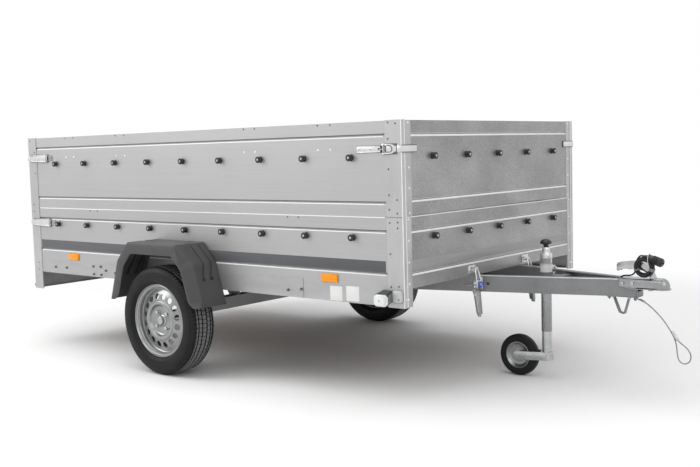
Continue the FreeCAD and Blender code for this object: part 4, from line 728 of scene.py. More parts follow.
@dataclass
class Studio:
    """The photograph's viewpoint, a pale floor and soft light.

    Angles are in degrees, the lens in millimetres, middle and picture in pixels, and the rest in metres. The floor
    turns into plain white between the two distances of fade, and the lamps point at aim.
    """

    azimuth: float = 39.52
    elevation: float = 4.90
    roll: float = -1.60
    lens: float = 49.80
    eye: Point = (3.3026, -3.9546, 1.0839)
    middle: Flat = (350.32, 232.86)
    picture: Flat = (700.0, 467.0)
    reach: float = 30.0
    fade: Flat = (2.4, 4.2)
    aim: Point = (-0.2, 0.0, 0.5)

    def camera(self) -> None:
        """Put the camera where the photograph was taken from."""
        a, e, r = (math.radians(v) for v in (self.azimuth, self.elevation, self.roll))
        back = Vector((math.sin(a) * math.cos(e), -math.cos(a) * math.cos(e), math.sin(e)))
        right = Vector((0, 0, 1)).cross(back).normalized()
        up = back.cross(right)
        right, up = right * math.cos(r) + up * math.sin(r), up * math.cos(r) - right * math.sin(r)
        data = bpy.data.cameras.new("camera")
        data.lens, data.sensor_width, data.clip_end = self.lens, 36.0, 60.0
        wide, high = self.picture
        data.shift_x = (wide / 2 - self.middle[0]) / wide
        data.shift_y = (self.middle[1] - high / 2) / wide
        camera = put("camera", data)
        camera.matrix_world = Matrix.Translation(self.eye) @ Matrix((right, up, back)).transposed().to_4x4()
        bpy.context.scene.camera = camera

    def floor(self) -> None:
        """Lay a pale floor that keeps the trailer's shadow."""
        mesh = bpy.data.meshes.new("studio_floor")
        corners = [(self.reach * u, self.reach * v, 0) for u, v in ((-1, -1), (1, -1), (1, 1), (-1, 1))]
        mesh.from_pydata(corners, [], [(0, 1, 2, 3)])
        made = bpy.data.materials.new("pale_studio_floor")
        made.use_nodes = True
        tree = made.node_tree
        shader = tree.nodes["Principled BSDF"]
        where = add_node(tree, "ShaderNodeTexCoord").outputs["Object"]
        cloud = add_node(tree, "ShaderNodeTexNoise", {"Vector": where, "Scale": 0.7})
        tint = add_node(
            tree, "ShaderNodeMix", {0: cloud.outputs["Fac"], 6: linear("#fdfdfd"), 7: linear("#ffffff")},
            data_type="RGBA",
        )
        tree.links.new(tint.outputs[2], shader.inputs["Base Color"])
        shader.inputs["Roughness"].default_value = 0.9
        shader.inputs["Specular IOR Level"].default_value = 0.0
        far = add_node(tree, "ShaderNodeVectorMath", {0: where}, operation="LENGTH")
        near, off = self.fade
        share = add_node(
            tree, "ShaderNodeMapRange", {"Value": far.outputs["Value"], "From Min": near, "From Max": off},
            interpolation_type="SMOOTHSTEP",
        )
        white = add_node(tree, "ShaderNodeEmission", {"Color": (1.0, 1.0, 1.0, 1.0), "Strength": 1.0})
        mixed = add_node(tree, "ShaderNodeMixShader", {0: share.outputs[0], 1: shader.outputs[0], 2: white.outputs[0]})
        tree.links.new(mixed.outputs[0], tree.nodes["Material Output"].inputs["Surface"])
        mesh.materials.append(made)
        put("studio_floor", mesh)

    def light(self) -> None:
        """Hang a key, a fill and a top panel, all large and soft, in a pale room with a white backdrop."""
        for name, place, size, power in (
            ("key_panel", (-3.9, -3.6, 3.6), 3.0, 105.0),
            ("fill_panel", (4.8, -2.6, 4.0), 4.0, 62.0),
            ("top_panel", (-0.5, -0.5, 5.0), 5.0, 125.0),
        ):
            data = bpy.data.lights.new(name, "AREA")
            data.shape, data.size, data.energy = "SQUARE", size, power
            aim = Vector(self.aim) - Vector(place)
            turn = aim.to_track_quat("-Z", "Y").to_matrix().to_4x4()
            put(name, data).matrix_world = Matrix.Translation(place) @ turn
        world = bpy.data.worlds.new("studio_room")
        world.use_nodes = True
        tree = world.node_tree
        tree.nodes.clear()
        rays = add_node(tree, "ShaderNodeLightPath")
        seen = add_node(
            tree, "ShaderNodeMath", {0: rays.outputs["Is Camera Ray"], 1: rays.outputs["Is Glossy Ray"]},
            operation="ADD",
        )
        all_seen = add_node(
            tree, "ShaderNodeMath", {0: seen.outputs[0], 1: rays.outputs["Is Transmission Ray"]}, operation="ADD",
            use_clamp=True,
        )
        room = add_node(tree, "ShaderNodeBackground", {"Color": linear("#f8f8f8"), "Strength": 0.62})
        white = add_node(tree, "ShaderNodeBackground", {"Color": (1.0, 1.0, 1.0, 1.0), "Strength": 1.0})
        mixed = add_node(tree, "ShaderNodeMixShader", {0: all_seen.outputs[0], 1: room.outputs[0], 2: white.outputs[0]})
        add_node(tree, "ShaderNodeOutputWorld", {0: mixed.outputs[0]})
        bpy.context.scene.world = world
        bpy.context.scene.view_settings.view_transform = "Standard"

    def build(self) -> None:
        """Set up camera, floor and light."""
        self.camera()
        self.floor()
        self.light()


# Finishes of the solid model's own nodes


def dress_frame() -> None:
    """Give every node of the solid model its finish, by the record's material slots."""
    by_slot = {
        "board_steel": SHEET, "galvanised_steel": FRAME_ZINC, "zinc_plated_steel": PLATED, "wheel_paint": LACQUER,
        "tyre_rubber": TYRE, "black_rubber": RUBBER, "dark_plastic": MUDGUARD, "black_plastic": BLACK_NYLON_AND_PAINTED_SHADE,
        "plywood": PLYWOOD, "amber_plastic": AMBER, "red_plastic": RED, "white_plastic": CLEAR, "blue_plastic": BLUE,
        "cable_steel": WIRE,
    }
    by_start = {
        "front_board": ZINC, "rear_board": ZINC, "tailgate": ZINC, "post": POST_ZINC, "extension_post": POST_ZINC,
        # The rear lamp panel takes the paler rail finish as painted light, lifting its shaded inner face.
        "side_rails": RAIL_ZINC, "rail_plates": RAIL_ZINC, "rear_lamp_panel": RAIL_ZINC,
    }
    for entry in frame["record"]["subparts"]:
        node = entry["node"]
        finish = by_slot[entry["material_slot"]]
        if finish in (FRAME_ZINC, SHEET):
            finish = next((own for start, own in by_start.items() if node.startswith(start)), finish)
        mesh = frame["nodes"][node].data
        mesh.materials.clear()
        mesh.materials.append(finish.material())


# Cords


@dataclass
class Cord:
    """A free cord along one smooth line, in millimetres."""

    name: str
    route: Sequence[Point]
    radius: float
    finish: Finish
    slot: str

    def curve(self, bevel: float) -> bpy.types.Curve:
        """Return the cord's spline with a round section of the given radius."""
        data = bpy.data.curves.new(self.name, "CURVE")
        data.dimensions = "3D"
        spline = data.splines.new("NURBS")
        spline.points.add(len(self.route) - 1)
        for point, place in zip(spline.points, self.route):
            point.co = (*(c * MM for c in place), 1.0)
        spline.order_u = 3
        spline.use_endpoint_u = True
        data.resolution_u = 6
        data.bevel_depth = bevel * MM
        data.bevel_resolution = 3
        data.use_fill_caps = bevel > 0
        return data

    def line(self) -> list[Vector]:
        """Return points along the cord's middle."""
        trial = put(self.name + "_line", self.curve(0.0))
        mesh = bpy.data.meshes.new_from_object(trial.evaluated_get(bpy.context.evaluated_depsgraph_get()))
        points = [v.co / MM for v in mesh.vertices]
        bpy.data.objects.remove(trial)
        bpy.data.meshes.remove(mesh)
        return points

    def lay(self, stands_for: Sequence[str]) -> bpy.types.Object:
        """Lay the cord in place of the nodes named."""
        return set_down(self.name, self.curve(self.radius), "chassis", (self.finish,), stands_for)


def stretch(line: Sequence[Vector], start: float, end: float) -> list[Vector]:
    """Return the part of a line between two distances along it.

    Args:
        line: Points of the line.
        start: Distance where the part starts.
        end: Distance where it ends, or if negative, measured back from the line's end.

    Returns:
        Points of the part, with both its ends.
    """
    marks = [0.0]
    for a, b in zip(line, line[1:]):
        marks.append(marks[-1] + (b - a).length)
    start, end = (d if d >= 0 else marks[-1] + d for d in (start, end))

    def at(distance: float) -> Vector:
        """Return the point that far along."""
        i = max(k for k in range(len(line) - 1) if marks[k] <= distance)
        return line[i].lerp(line[i + 1], (distance - marks[i]) / (marks[i + 1] - marks[i]))

    return [at(start), *(p for p, m in zip(line, marks) if start < m < end), at(end)]


@dataclass
class SafetyCable:
    """The steel breakaway cable under the coupling, with its ferrules and its loop."""

    route: tuple[Point, ...] = (
        (1619.5, -2, 414), (1641.5, -7, 412), (1671.5, -17, 402), (1712.5, -29, 377), (1753.5, -34, 340),
        (1784.5, -34, 297), (1804.5, -34, 261), (1812.5, -34, 229), (1814.5, -34, 194), (1823.5, -34, 167),
        (1846.5, -34, 158), (1870.5, -34, 173), (1872.5, -34, 205), (1854.5, -34, 229), (1828.5, -34, 246),
        (1809.5, -34, 264), (1794.5, -34, 290),
    )
    radius: float = 2.6
    length: float = 0.545

    def build(self) -> None:
        """Lay the cable and press its ferrules on."""
        cord = Cord("breakaway_cable", self.route, self.radius, WIRE, "cable_steel")
        line = cord.line()
        cable = cord.lay(("safety_cable",))
        crimps = Former()
        crimps.bar(stretch(line, 26.0, 52.0), 4.8)
        crimps.bar(stretch(line, -36.0, -2.0), 6.6)
        crimps.bar(stretch(line, 2.0, 9.0), 4.2)
        sleeves = crimps.make("breakaway_cable_ferrules", "chassis", (PLATED,))


@dataclass
class Lead:
    """The lamp lead: out of the drawbar, up into a wound hank over the coupling, and into its plug."""

    run: tuple[Point, ...] = (
        (1548.5, 0, 460), (1548.5, -1, 484), (1556.5, -8, 506), (1580.5, -18, 514), (1606.5, -20, 514),
        (1627.5, -21, 527), (1630.5, -23.5, 552),
    )
    middle: Point = (1671.5, -31.0, 555.0)
    ring: float = 35.0
    spacing: float = 8.1
    steps: int = 14
    lift: tuple[Point, ...] = (
        (1641.0, -28.0, 589.5), (1650.5, -29.5, 600.5), (1661.0, -31.0, 604.6), (1673.5, -31.0, 600.6),
    )
    radius: float = 3.5
    length: float = 1.77
    droop: float = 18.0
    plug_height: float = 601.0

    def route(self) -> list[Point]:
        """Wind the hank.

        Returns:
            The control points of the whole lead.
        """
        # Where each turn lies in the hank's section: outwards from the ring, then across it, in spacings.
        beds = [(0.0, 1.0), (-0.87, 0.5), (-0.87, -0.5), (0.0, -1.0), (0.0, 0.0), (0.87, -0.5), (0.87, 0.5)]
        last = len(beds) - 1
        points = list(self.run)
        x, y, z = self.middle
        for turn in range(len(beds) + 1):
            bed, after = beds[min(turn, last)], beds[min(turn + 1, last)]
            for i in range(self.steps if turn < len(beds) else 2):
                if turn == 0 and i == 0:
                    continue
                share = i / self.steps
                shift = min(1.0, max(0.0, (share - 0.84 + 0.13 * turn) / 0.15))
                out, side = (a + (b - a) * shift for a, b in zip(bed, after))
                radius = self.ring + out * self.spacing
                angle = math.tau * share
                points.append((x - radius * math.cos(angle), y + side * self.spacing, z + radius * math.sin(angle)))
        return points + list(self.lift)

    def plug(self) -> bpy.types.Object:
        """Mould the plug with its ribbed grip, collar and locating lug.

        Returns:
            The plug.
        """
        droop = math.radians(self.droop)
        way = Vector((math.cos(droop), 0.0, -math.sin(droop)))
        start = Vector((*self.middle[:2], self.plug_height))
        plug = Former()
        boot = [(0.0, -4.0), (4.6, -4.0), (5.6, -2.0), (5.6, 0.5), (6.6, 1.2), (6.6, 3.4), (7.4, 4.0), (7.4, 6.2)]
        grip = [(9.0, 7.5), (9.5, 13.0), (12.5, 15.0), (15.0, 18.5), (16.2, 30.0), (16.8, 38.0), (17.6, 39.5)]
        rib = ((18.9, 0.0), (18.9, 1.6), (17.4, 2.2), (17.4, 3.0))
        ribs = [(r, 42.0 + 3.6 * i + d) for i in range(6) for r, d in rib]
        face = [
            (18.9, 64.5), (19.0, 66.0), (19.0, 79.0), (18.0, 81.0), (16.0, 81.4), (15.0, 82.0), (14.6, 85.4),
            (0.0, 86.0),
        ]
        plug.lathe(boot + grip + ribs + face, tuple(start), tuple(way), 48)
        across = Vector((0, 1, 0))
        up = way.cross(across) * -1
        lug = Matrix.Translation(start + way * 66) @ Matrix((way, across, up)).transposed().to_4x4()
        plug.block((0, -4.5, 12.0), (13.5, 4.5, 18.4), 1.2, lug)
        tip = [(0, 0), (3.6, 0), (4.2, 1), (4.2, 5), (3.2, 6), (0, 6.2)]
        plug.lathe(tip, tuple(start + way * 84.0), tuple(way), 20)
        return plug.make("lead_plug_body", "chassis", (BLACK_NYLON_AND_PAINTED_SHADE,), ("lead_plug",))

    def ties(self) -> bpy.types.Object:
        """Wrap the grey tie round the hank and the pale strap over the plug.

        Returns:
            The ties.
        """
        x, y, z = self.middle
        ties = Former()
        for degrees, wide in ((196.0, 7.0), (338.0, 3.0)):
            a = math.radians(degrees)
            spot = (x - self.ring * math.cos(a), y, z + self.ring * math.sin(a))
            band = [(11.9, -wide), (12.9, -wide), (12.9, wide), (11.9, wide)]
            ties.lathe(band, spot, (math.sin(a), 0, math.cos(a)), 28, loop=True)
        ties.finish = 1
        loop = [
            (1693.5, y + 18.6 * math.cos(t), 588.0 + 25.0 * math.sin(t)) for t in (math.tau * i / 30 for i in range(32))
        ]
        ties.bar(loop, 1.7, 10)
        return ties.make("lead_ties", "chassis", (GREY_TIE_AND_PAINTED_LIGHT, PALE_TIE))

    def build(self) -> None:
        """Lay the lead with its sleeve, ties and plug."""
        cord = Cord("lamp_lead", self.route(), self.radius, RUBBER, "black_rubber")
        line = cord.line()
        lead = cord.lay(("lead", "lead_hank"))
        sleeve = Former()
        sleeve.bar(stretch(line, 0.5, 30.0), 6.4, taper=0.62)
        boot = sleeve.make("lead_sleeve", "chassis", (RUBBER,))
        self.plug()
        self.ties()


# Coupling


def rounded(half_u: float, half_v: float, power: float, count: int = 32) -> list[Flat]:
    """Return a rounded rectangle as a superellipse of the given power."""
    points = []
    for i in range(count):
        a = math.tau * (i + 0.5) / count
        c, s = math.cos(a), math.sin(a)
        reach = (abs(c) ** power + abs(s) ** power) ** (-1 / power)
        points.append((half_u * c * reach, half_v * s * reach))
    return points


@dataclass
class Coupling:
    """The pressed ball coupling with its folded lever, and the bent foot under the nose."""

    ball: float = 1738.5
    centre: float = 472.0
    shell: float = 31.3
    crown: float = 36.0
    socket: float = 25.3

    def head(self) -> None:
        """Press the body over the nose and the dome over the ball, with the bolts through its cheeks."""
        head = Former()
        # Place along the trailer, half width, bottom, where the sides end, top, and how square the top is.
        sections = (
            (1561.5, 46.0, 474.0, 488.0, 503.4, 9.0), (1563.5, 47.6, 472.0, 488.0, 503.6, 9.0),
            (1588.0, 46.0, 462.0, 484.0, 503.6, 9.0), (1598.0, 45.2, 459.6, 482.0, 503.6, 9.0),
            (1636.0, 42.6, 459.6, 482.0, 503.6, 8.0), (1644.0, 41.4, 464.0, 482.0, 503.6, 8.0),
            (1664.0, 36.4, 463.0, 481.0, 503.6, 6.0), (1684.0, 33.2, 463.0, 478.0, 504.2, 4.0),
            (1704.0, 31.8, 463.0, 474.5, 505.8, 2.8), (1722.0, 31.4, 463.0, 472.4, 507.4, 2.2),
            (1738.5, 31.2, 463.0, 472.0, 507.9, 2.04),
        )
        rings = []
        for x, half, low, middle, high, power in sections:
            upper = rounded(half, high - middle, power, 40)[:20]
            lower = rounded(half, middle - low, 9.0, 40)[20:]
            rings.append([(x, u, middle + v) for u, v in upper + lower])
        head.loft(rings)
        flange = [
            (1598.0, -46.6), (1645.5, -43.6), (1668.0, -39.5), (1700.0, -36.0), (1738.0, -35.0), (1738.0, 35.0),
            (1700.0, 36.0), (1668.0, 39.5), (1645.5, 43.6), (1598.0, 46.6),
        ]
        head.prism(flange, 459.0, 462.6, Plane.XY, 1.2)
        s, b = self.shell, self.socket
        z, crown = self.centre, self.crown
        dome = [(0.0, z + crown)]
        dome += [(s * math.sin(t), z + crown * math.cos(t)) for t in map(math.radians, range(8, 96, 8))]
        dome += [(s, 468.0), (s + 0.4, 466.2), (33.6, 465.2), (35.0, 464.4), (35.0, 460.4), (34.0, 459.0)]
        dome += [(27.5, 459.0), (b + 0.4, 460.2), (b, 462.0), (b, z)]
        dome += [(b * math.cos(t), z + b * math.sin(t)) for t in map(math.radians, range(10, 90, 10))]
        dome += [(0.0, z + b)]
        head.lathe(dome, (self.ball, 0, 0), steps=64)
        for side in (1, -1):
            tilt = Matrix.Translation((1603.5, 45.0 * side, 481.0)) @ Matrix.Rotation(math.radians(-4.1 * side), 4, "Z")
            pad = [(u - 1.0, v) for u, v in rounded(37.0, 14.0, 6.0, 36)]
            head.prism(pad, -1.6, 1.6, Plane.XZ, 0.9, tilt)
        # The indicator boss, the rear rivet of the latch and the bump under the cheek.
        head.lathe([(0, 0), (7.5, 0), (7.5, 2.4), (5.5, 4.2), (0, 4.6)], (1652.0, -36.4, 488.0), (0.28, -0.96, 0), 24)
        head.lathe([(0, 0), (5.0, 0), (5.0, 2.0), (3.0, 3.4), (0, 3.8)], (1690.0, -26.4, 482.0), (0.2, -0.98, 0), 24)
        head.prism([(1682.0, 461.0), (1688.0, 453.6), (1704.0, 453.6), (1710.0, 461.0)], -27.0, 27.0, edge=1.6)
        head.make("coupling_shell", "chassis", (PRESSED,), ("coupling_head",), 34)
        bolt = Fasteners(
            "coupling_bolt",
            [
                Layer(11.5, 11.5, 1.6, 0.0, PLATED, 28), Layer(9.0, 9.0, 6.0, 1.6, DULL_ZINC_AND_PAINTED_SHADE, 6),
                Layer(7.6, 6.4, 1.0, 7.6, PLATED),
            ],
        )
        spots = [
            ((x, side * (48.0 - (x - 1561.5) * 0.0714 + 0.2), 483.0), (0.07, float(side), 0.0))
            for x in (1581.0, 1624.0) for side in (1, -1)
        ]
        bolt.place(spots, "coupling_bolts", "chassis", "zinc_plated_steel")

    def lever(self) -> None:
        """Fold the lever: two cheeks under a rounded back, with a thumb recess in its grip."""
        lever = Former()
        under = [
            (1688.0, 503.8), (1684.0, 517.0), (1672.0, 531.0), (1655.0, 538.0), (1638.0, 541.0), (1616.0, 541.6),
            (1598.0, 539.6), (1582.0, 541.8), (1566.0, 539.8), (1556.5, 536.0), (1550.5, 531.0),
        ]
        back = [
            (1541.0, 533.0), (1540.0, 556.0), (1545.0, 566.0), (1556.0, 570.2), (1600.0, 575.4), (1640.0, 576.4),
            (1662.0, 571.0), (1678.0, 560.5), (1691.0, 544.0), (1701.0, 525.0), (1710.4, 503.8),
        ]
        for side in (1, -1):
            lever.prism(under + back, side * 14.8, side * 12.2, edge=0.9)
        inner = [(x + (0.6 if x < 1600 else -2.2), z - 2.6) for x, z in back]
        lever.prism(back + inner[::-1], -14.0, 14.0, edge=0.8)
        ridge = [(x, z + 0.2) for x, z in back[3:7]]
        lever.prism(ridge + [(x, z - 1.6) for x, z in ridge[::-1]], -6.0, 6.0, edge=0.6)
        lever.lathe([(0, -15), (4.6, -15), (4.6, 15), (0, 15)], (1693.0, 0, 513.0), (0, 1, 0), 20, edge=1.0)
        lever.make("coupling_release_lever", "chassis", (PLATED,), ("coupling_lever",), 34)

    def foot(self) -> None:
        """Bend the flat bar under the nose plate, with its bolts and the cable's lug."""
        foot = Former()
        bar = [(1520.0, 421.0), (1548.0, 351.0), (1552.5, 346.6), (1571.0, 341.4), (1577.0, 344.4), (1599.0, 421.0)]
        inside = [(1592.6, 421.0), (1571.6, 348.6), (1569.4, 347.8), (1556.6, 351.6), (1554.2, 354.2), (1527.0, 421.0)]
        foot.prism([(x - 2.0, z) for x, z in bar + inside], -11.0, 8.0, edge=1.2)
        foot.block((1637.5, -33.0, 426.0), (1641.0, 33.0, 447.0), 0.6)
        foot.prism([(1503.0, 421.0), (1524.0, 421.0), (1515.0, 406.0)], -33.0, -29.0, edge=0.6)
        foot.block((1509.5, -34.0, 420.0), (1639.5, 34.0, 425.0), 1.4)
        lug = [(1612.5, 421.0), (1612.5, 409.0), (1616.0, 403.5), (1623.0, 403.5), (1626.5, 409.0), (1626.5, 421.0)]
        foot.prism(lug, -4.0, 4.0, edge=0.9)
        foot.make("nose_plate_and_foot", "chassis", (FRAME_ZINC,), ("nose_foot",), 34)
        bolt = Fasteners("nose_bolt", [Layer(7.5, 7.5, 1.4, 0.0, PLATED, 24), Layer(6.4, 6.4, 4.8, 1.4, PLATED, 6)])
        spots = [((x, y, 420.0), (0.0, 0.0, -1.0)) for x in (1528.0, 1604.0) for y in (-25.0, 25.0)]
        bolt.place(spots, "nose_plate_bolts", "chassis", "zinc_plated_steel")

    def build(self) -> None:
        """Make head, lever and foot."""
        self.head()
        self.lever()
        self.foot()


# Jockey wheel


@dataclass
class JockeyWheel:
    """The jockey wheel: clamped tube, screw grip, fork and a small rubber-tyred wheel."""

    axis: Flat = (1175.5, 35.0)
    wheel: Point = (1032.5, 35.0, 97.5)

    def tube(self) -> None:
        """Draw the outer tube with its collar and head, and the clamp that holds it."""
        x, y = self.axis
        tube = Former()
        wall = [(21.7, 223.5), (22.2, 223.0), (23.6, 223.0), (24.0, 223.6), (24.0, 540.0), (21.7, 540.0)]
        tube.lathe(wall, (x, y, 0), steps=56, loop=True)
        tube.finish = 1
        tube.lathe(
            [
                (21.6, 536.0), (24.6, 536.0), (26.4, 541.0), (27.0, 543.0), (27.0, 561.0), (28.0, 563.0), (28.0, 566.0),
                (26.6, 567.4), (26.6, 569.2), (28.0, 570.6), (28.0, 585.0), (26.8, 587.0), (18.4, 588.2), (17.6, 590.0),
                (17.6, 596.0), (16.4, 597.0), (16.4, 600.0), (17.8, 601.0), (17.8, 611.0), (16.4, 613.0), (8.0, 613.0),
                (8.0, 566.0), (21.6, 565.0),
            ],
            (x, y, 0), steps=56, loop=True,
        )
        tube.make("jockey_outer_tube", "chassis", (PRESSED, BRIGHT), ("jockey_tube",))
        clamp = Former()
        band = [
            (24.2, 474.0), (29.5, 474.0), (29.5, 476.0), (28.0, 477.5), (28.0, 531.0), (29.5, 532.5), (29.5, 534.5),
            (24.2, 534.5),
        ]
        clamp.lathe(band, (x, y, 0), steps=48, loop=True)
        for z in (487.0, 519.0):
            clamp.block((x + 18.0, y + 14.0, z - 9.0), (x + 25.0, y + 42.0, z + 9.0), 1.4)
        clamp.make("jockey_clamp_band", "chassis", (PALE_ZINC_AND_PAINTED_HIGHLIGHT,))
        bolt = Fasteners(
            "jockey_clamp_bolt", [Layer(7.6, 7.6, 1.4, 0.0, PLATED, 20), Layer(6.4, 6.4, 5.0, 1.4, PLATED, 6)]
        )
        spots = [((x + 25.0, y + 34.0, z), (1.0, 0.0, 0.0)) for z in (487.0, 519.0)]
        bolt.place(spots, "jockey_clamp_bolts", "chassis", "zinc_plated_steel")
        grip = Former()
        grip.lathe(
            [
                (0, 613.2), (11.6, 613.2), (11.6, 625.5), (12.6, 627.0), (19.0, 627.4), (24.2, 629.0), (26.6, 631.6),
                (27.0, 634.5), (26.2, 638.0), (23.4, 642.4), (18.0, 646.8), (10.0, 650.0), (0, 651.0),
            ],
            (x, y, 0), steps=64,
        )
        grip.make("jockey_mushroom_grip", "chassis", (BLACK_NYLON_AND_PAINTED_SHADE,), ("jockey_crank",))

    def rolling(self) -> None:
        """Mould the tyre and press the two rim halves."""
        x, y, z = self.wheel
        tyre = Former()
        half = [(25.0, 78.0), (25.0, 84.0), (24.0, 88.5), (21.0, 92.6), (16.0, 95.4), (10.0, 96.9), (4.0, 97.4)]
        rows = [(r, -w) for w, r in half] + [(97.5, 0.0)] + [(r, w) for w, r in half[::-1]]
        tyre.lathe([(62.6, -20.0), (64.0, -22.5), (72.0, -24.6)] + rows + [(72.0, 24.6), (64.0, 22.5), (62.6, 20.0)],
                   (x, y, z), (0, 1, 0), 72, loop=True)
        tyre.make("jockey_solid_tyre", "jockey_wheel", (TYRE,), ("jockey_tyre",))
        rim = Former()
        out = [
            (9.0, 24.6), (13.0, 24.6), (14.0, 23.6), (14.4, 12.0), (17.0, 9.4), (24.0, 8.6), (40.0, 8.6), (48.0, 10.4),
            (53.0, 15.5), (57.0, 19.0), (60.0, 21.6), (62.4, 21.0), (62.4, 18.0),
        ]
        rim.lathe(out + [(r, -w) for r, w in out[::-1]], (x, y, z), (0, 1, 0), 64, loop=True)
        rim.make("jockey_pressed_rim", "jockey_wheel", (LACQUER,), ("jockey_rim",))

    def fork(self) -> None:
        """Cut the fork arms with rounded ends, the collar round the tube that joins them, and the axle bolt with its
        nuts.
        """
        x, y = self.axis
        wx, _, wz = self.wheel
        fork = Former()
        arm = [(wx + 20.0 * math.cos(a), wz + 20.0 * math.sin(a)) for a in map(math.radians, range(90, 271, 15))]
        arm += [(x - 8.0, 87.8), (x + 12.0, 88.6), (x + 12.0, 126.0), (x - 8.0, 127.4)]
        for s in (1, -1):
            fork.prism(arm, y + s * 28.7, y + s * 32.3, edge=0.9)
        collar = [(21.9, 87.6), (28.6, 87.6), (29.4, 88.4), (29.4, 126.6), (28.6, 127.4), (21.9, 127.4)]
        fork.lathe(collar, (x, y, 0), steps=48, loop=True)
        bolt = [(0, -35.5), (5.0, -35.5), (6.0, -34.5), (6.0, 34.5), (5.0, 35.5), (0, 35.5)]
        fork.lathe(bolt, (wx, y, wz), (0, 1, 0), 24)
        for s in (1, -1):
            nut = [(0, 0), (10.0, 0), (10.0, 1.2), (8.2, 1.6), (8.2, 4.0), (0, 4.2)]
            fork.lathe(nut, (wx, y + s * 32.2, wz), (0, s, 0), 6)
        fork.make("jockey_wheel_fork", "jockey_fork", (PLATED,), ("jockey_fork",), 34)

    def build(self) -> None:
        """Make tube, clamp, grip, fork and wheel."""
        self.tube()
        self.fork()
        self.rolling()


# Tipping clamps


@dataclass
class TippingClamp:
    """The two toggles that hold the box down on the drawbar, with their hooks, pins and the clip."""

    inner: float = 217.6

    def build(self) -> None:
        """Make the toggles, their keepers on the front board and the lock clip."""
        toggle = Former()
        plate = [(958.7, 432.0), (992.3, 432.0), (992.3, 488.0), (986.0, 494.4), (965.0, 494.4), (958.7, 488.0)]
        toggle.prism(plate, self.inner + 0.2, self.inner + 4.2, edge=1.0)
        body = [(962.0, 440.0), (989.0, 440.0), (989.0, 480.0), (962.0, 480.0)]
        toggle.prism(body, self.inner + 4.0, 238.0, edge=2.0)
        lever = [
            (957.0, 461.5), (987.0, 461.5), (991.0, 452.0), (991.6, 424.0), (999.6, 328.0), (999.6, 320.0),
            (996.0, 315.6), (984.0, 315.6), (979.6, 319.0), (976.4, 330.0), (963.4, 410.0), (957.0, 430.0),
        ]
        toggle.finish = 1
        toggle.prism(lever, 247.6, 250.4, edge=0.8)
        for rib, push in (([lever[i] for i in (0, 11, 10, 9)], 2.4), ([lever[i] for i in (2, 3, 4)], -2.4)):
            toggle.prism(rib + [(x + push, z) for x, z in rib[::-1]], 236.0, 253.4, edge=0.7)
        toggle.finish = 0
        toggle.bar([(976.0, 251.0, 424.0), (986.0, 251.0, 336.0)], 1.6, 10)
        for head, z, steps in (
            ([(0, 238.0), (6.5, 238.0), (6.5, 251.6), (5.4, 253.4), (0, 253.4)], 452.0, 24),
            ([(0, 237.0), (4.5, 237.0), (4.5, 252.0), (3.6, 253.0), (0, 253.0)], 414.0, 20),
        ):
            toggle.lathe(head, (970.0, 0, z), (0, 1, 0), steps)
        # The bright hook from the toggle up over the keeper on the front board.
        hook = [
            (981.0, 250.0, 446.0), (980.0, 251.5, 476.0), (976.0, 252.0, 504.0), (972.0, 249.0, 524.0),
            (970.8, 242.0, 533.0), (970.6, 233.0, 534.0), (972.0, 227.0, 525.0), (977.0, 224.0, 505.0),
            (982.0, 222.5, 480.0), (983.0, 224.5, 470.0),
        ]
        toggle.bar(hook, 3.4, 12)
        toggle.block((962.0, 240.0, 462.0), (986.0, 252.6, 482.0), 3.0)
        toggle.mirror()
        # The lynch pin's wire, on the near clamp alone.
        pin = [(905.0, -251.5, 452.0), (935.0, -251.5, 454.5), (960.0, -250.0, 460.0), (985.0, -247.5, 464.5),
               (1000.0, -248.0, 463.0), (1006.0, -247.0, 459.0)]
        toggle.bar(pin, 2.2, 10)
        toggle.make("tipping_toggles", "chassis", (BRIGHT, PRESSED), ("tip_clamps",), 34)
        keeper = Former()
        keeper.block((946.6, 213.2, 510.4), (950.4, 272.0, 547.6), 1.2)
        large = [(0, 0), (7.8, 0), (7.8, 1.4), (6.2, 2.0), (6.2, 6.4), (0, 6.8)]
        keeper.lathe(large, (950.2, 260.0, 529.0), (1, 0, 0), 6)
        keeper.block((950.0, 218.5, 521.0), (968.0, 241.5, 527.0), 1.4)
        keeper.block((963.5, 218.5, 521.5), (968.0, 241.5, 539.0), 1.4)
        small = [(0, 0), (6.8, 0), (6.8, 1.2), (5.6, 1.6), (5.6, 5.2), (0, 5.4)]
        keeper.lathe(small, (950.2, 230.0, 539.0), (1, 0, 0), 6)
        keeper.mirror()
        keeper.make("toggle_keepers", "box", (BRIGHT,), ("clamp_brackets",), 34)
        clip = Former()
        x, z = 999.0, 463.0
        ring = [(x - 12.0, z + 9.0), (x + 15.0, z + 12.0), (x + 7.0, z - 4.0), (x + 1.0, z - 12.0), (x - 7.0, z - 3.0)]
        corners = [Vector((u, -250.6, v)) for u, v in ring]
        path = []
        for last, here, after in zip(corners[-1:] + corners, corners, corners[1:] + corners[:1]):
            bend = here.lerp(last, 0.06).lerp(here.lerp(after, 0.06), 0.5)
            path += [here.lerp(last, 0.22), bend, here.lerp(after, 0.22)]
        clip.bar(path + path[:2], 2.6, 12)
        clip.make("blue_lock_clip", "chassis", (BLUE,), ("lock_clip",))


# Latches and keepers


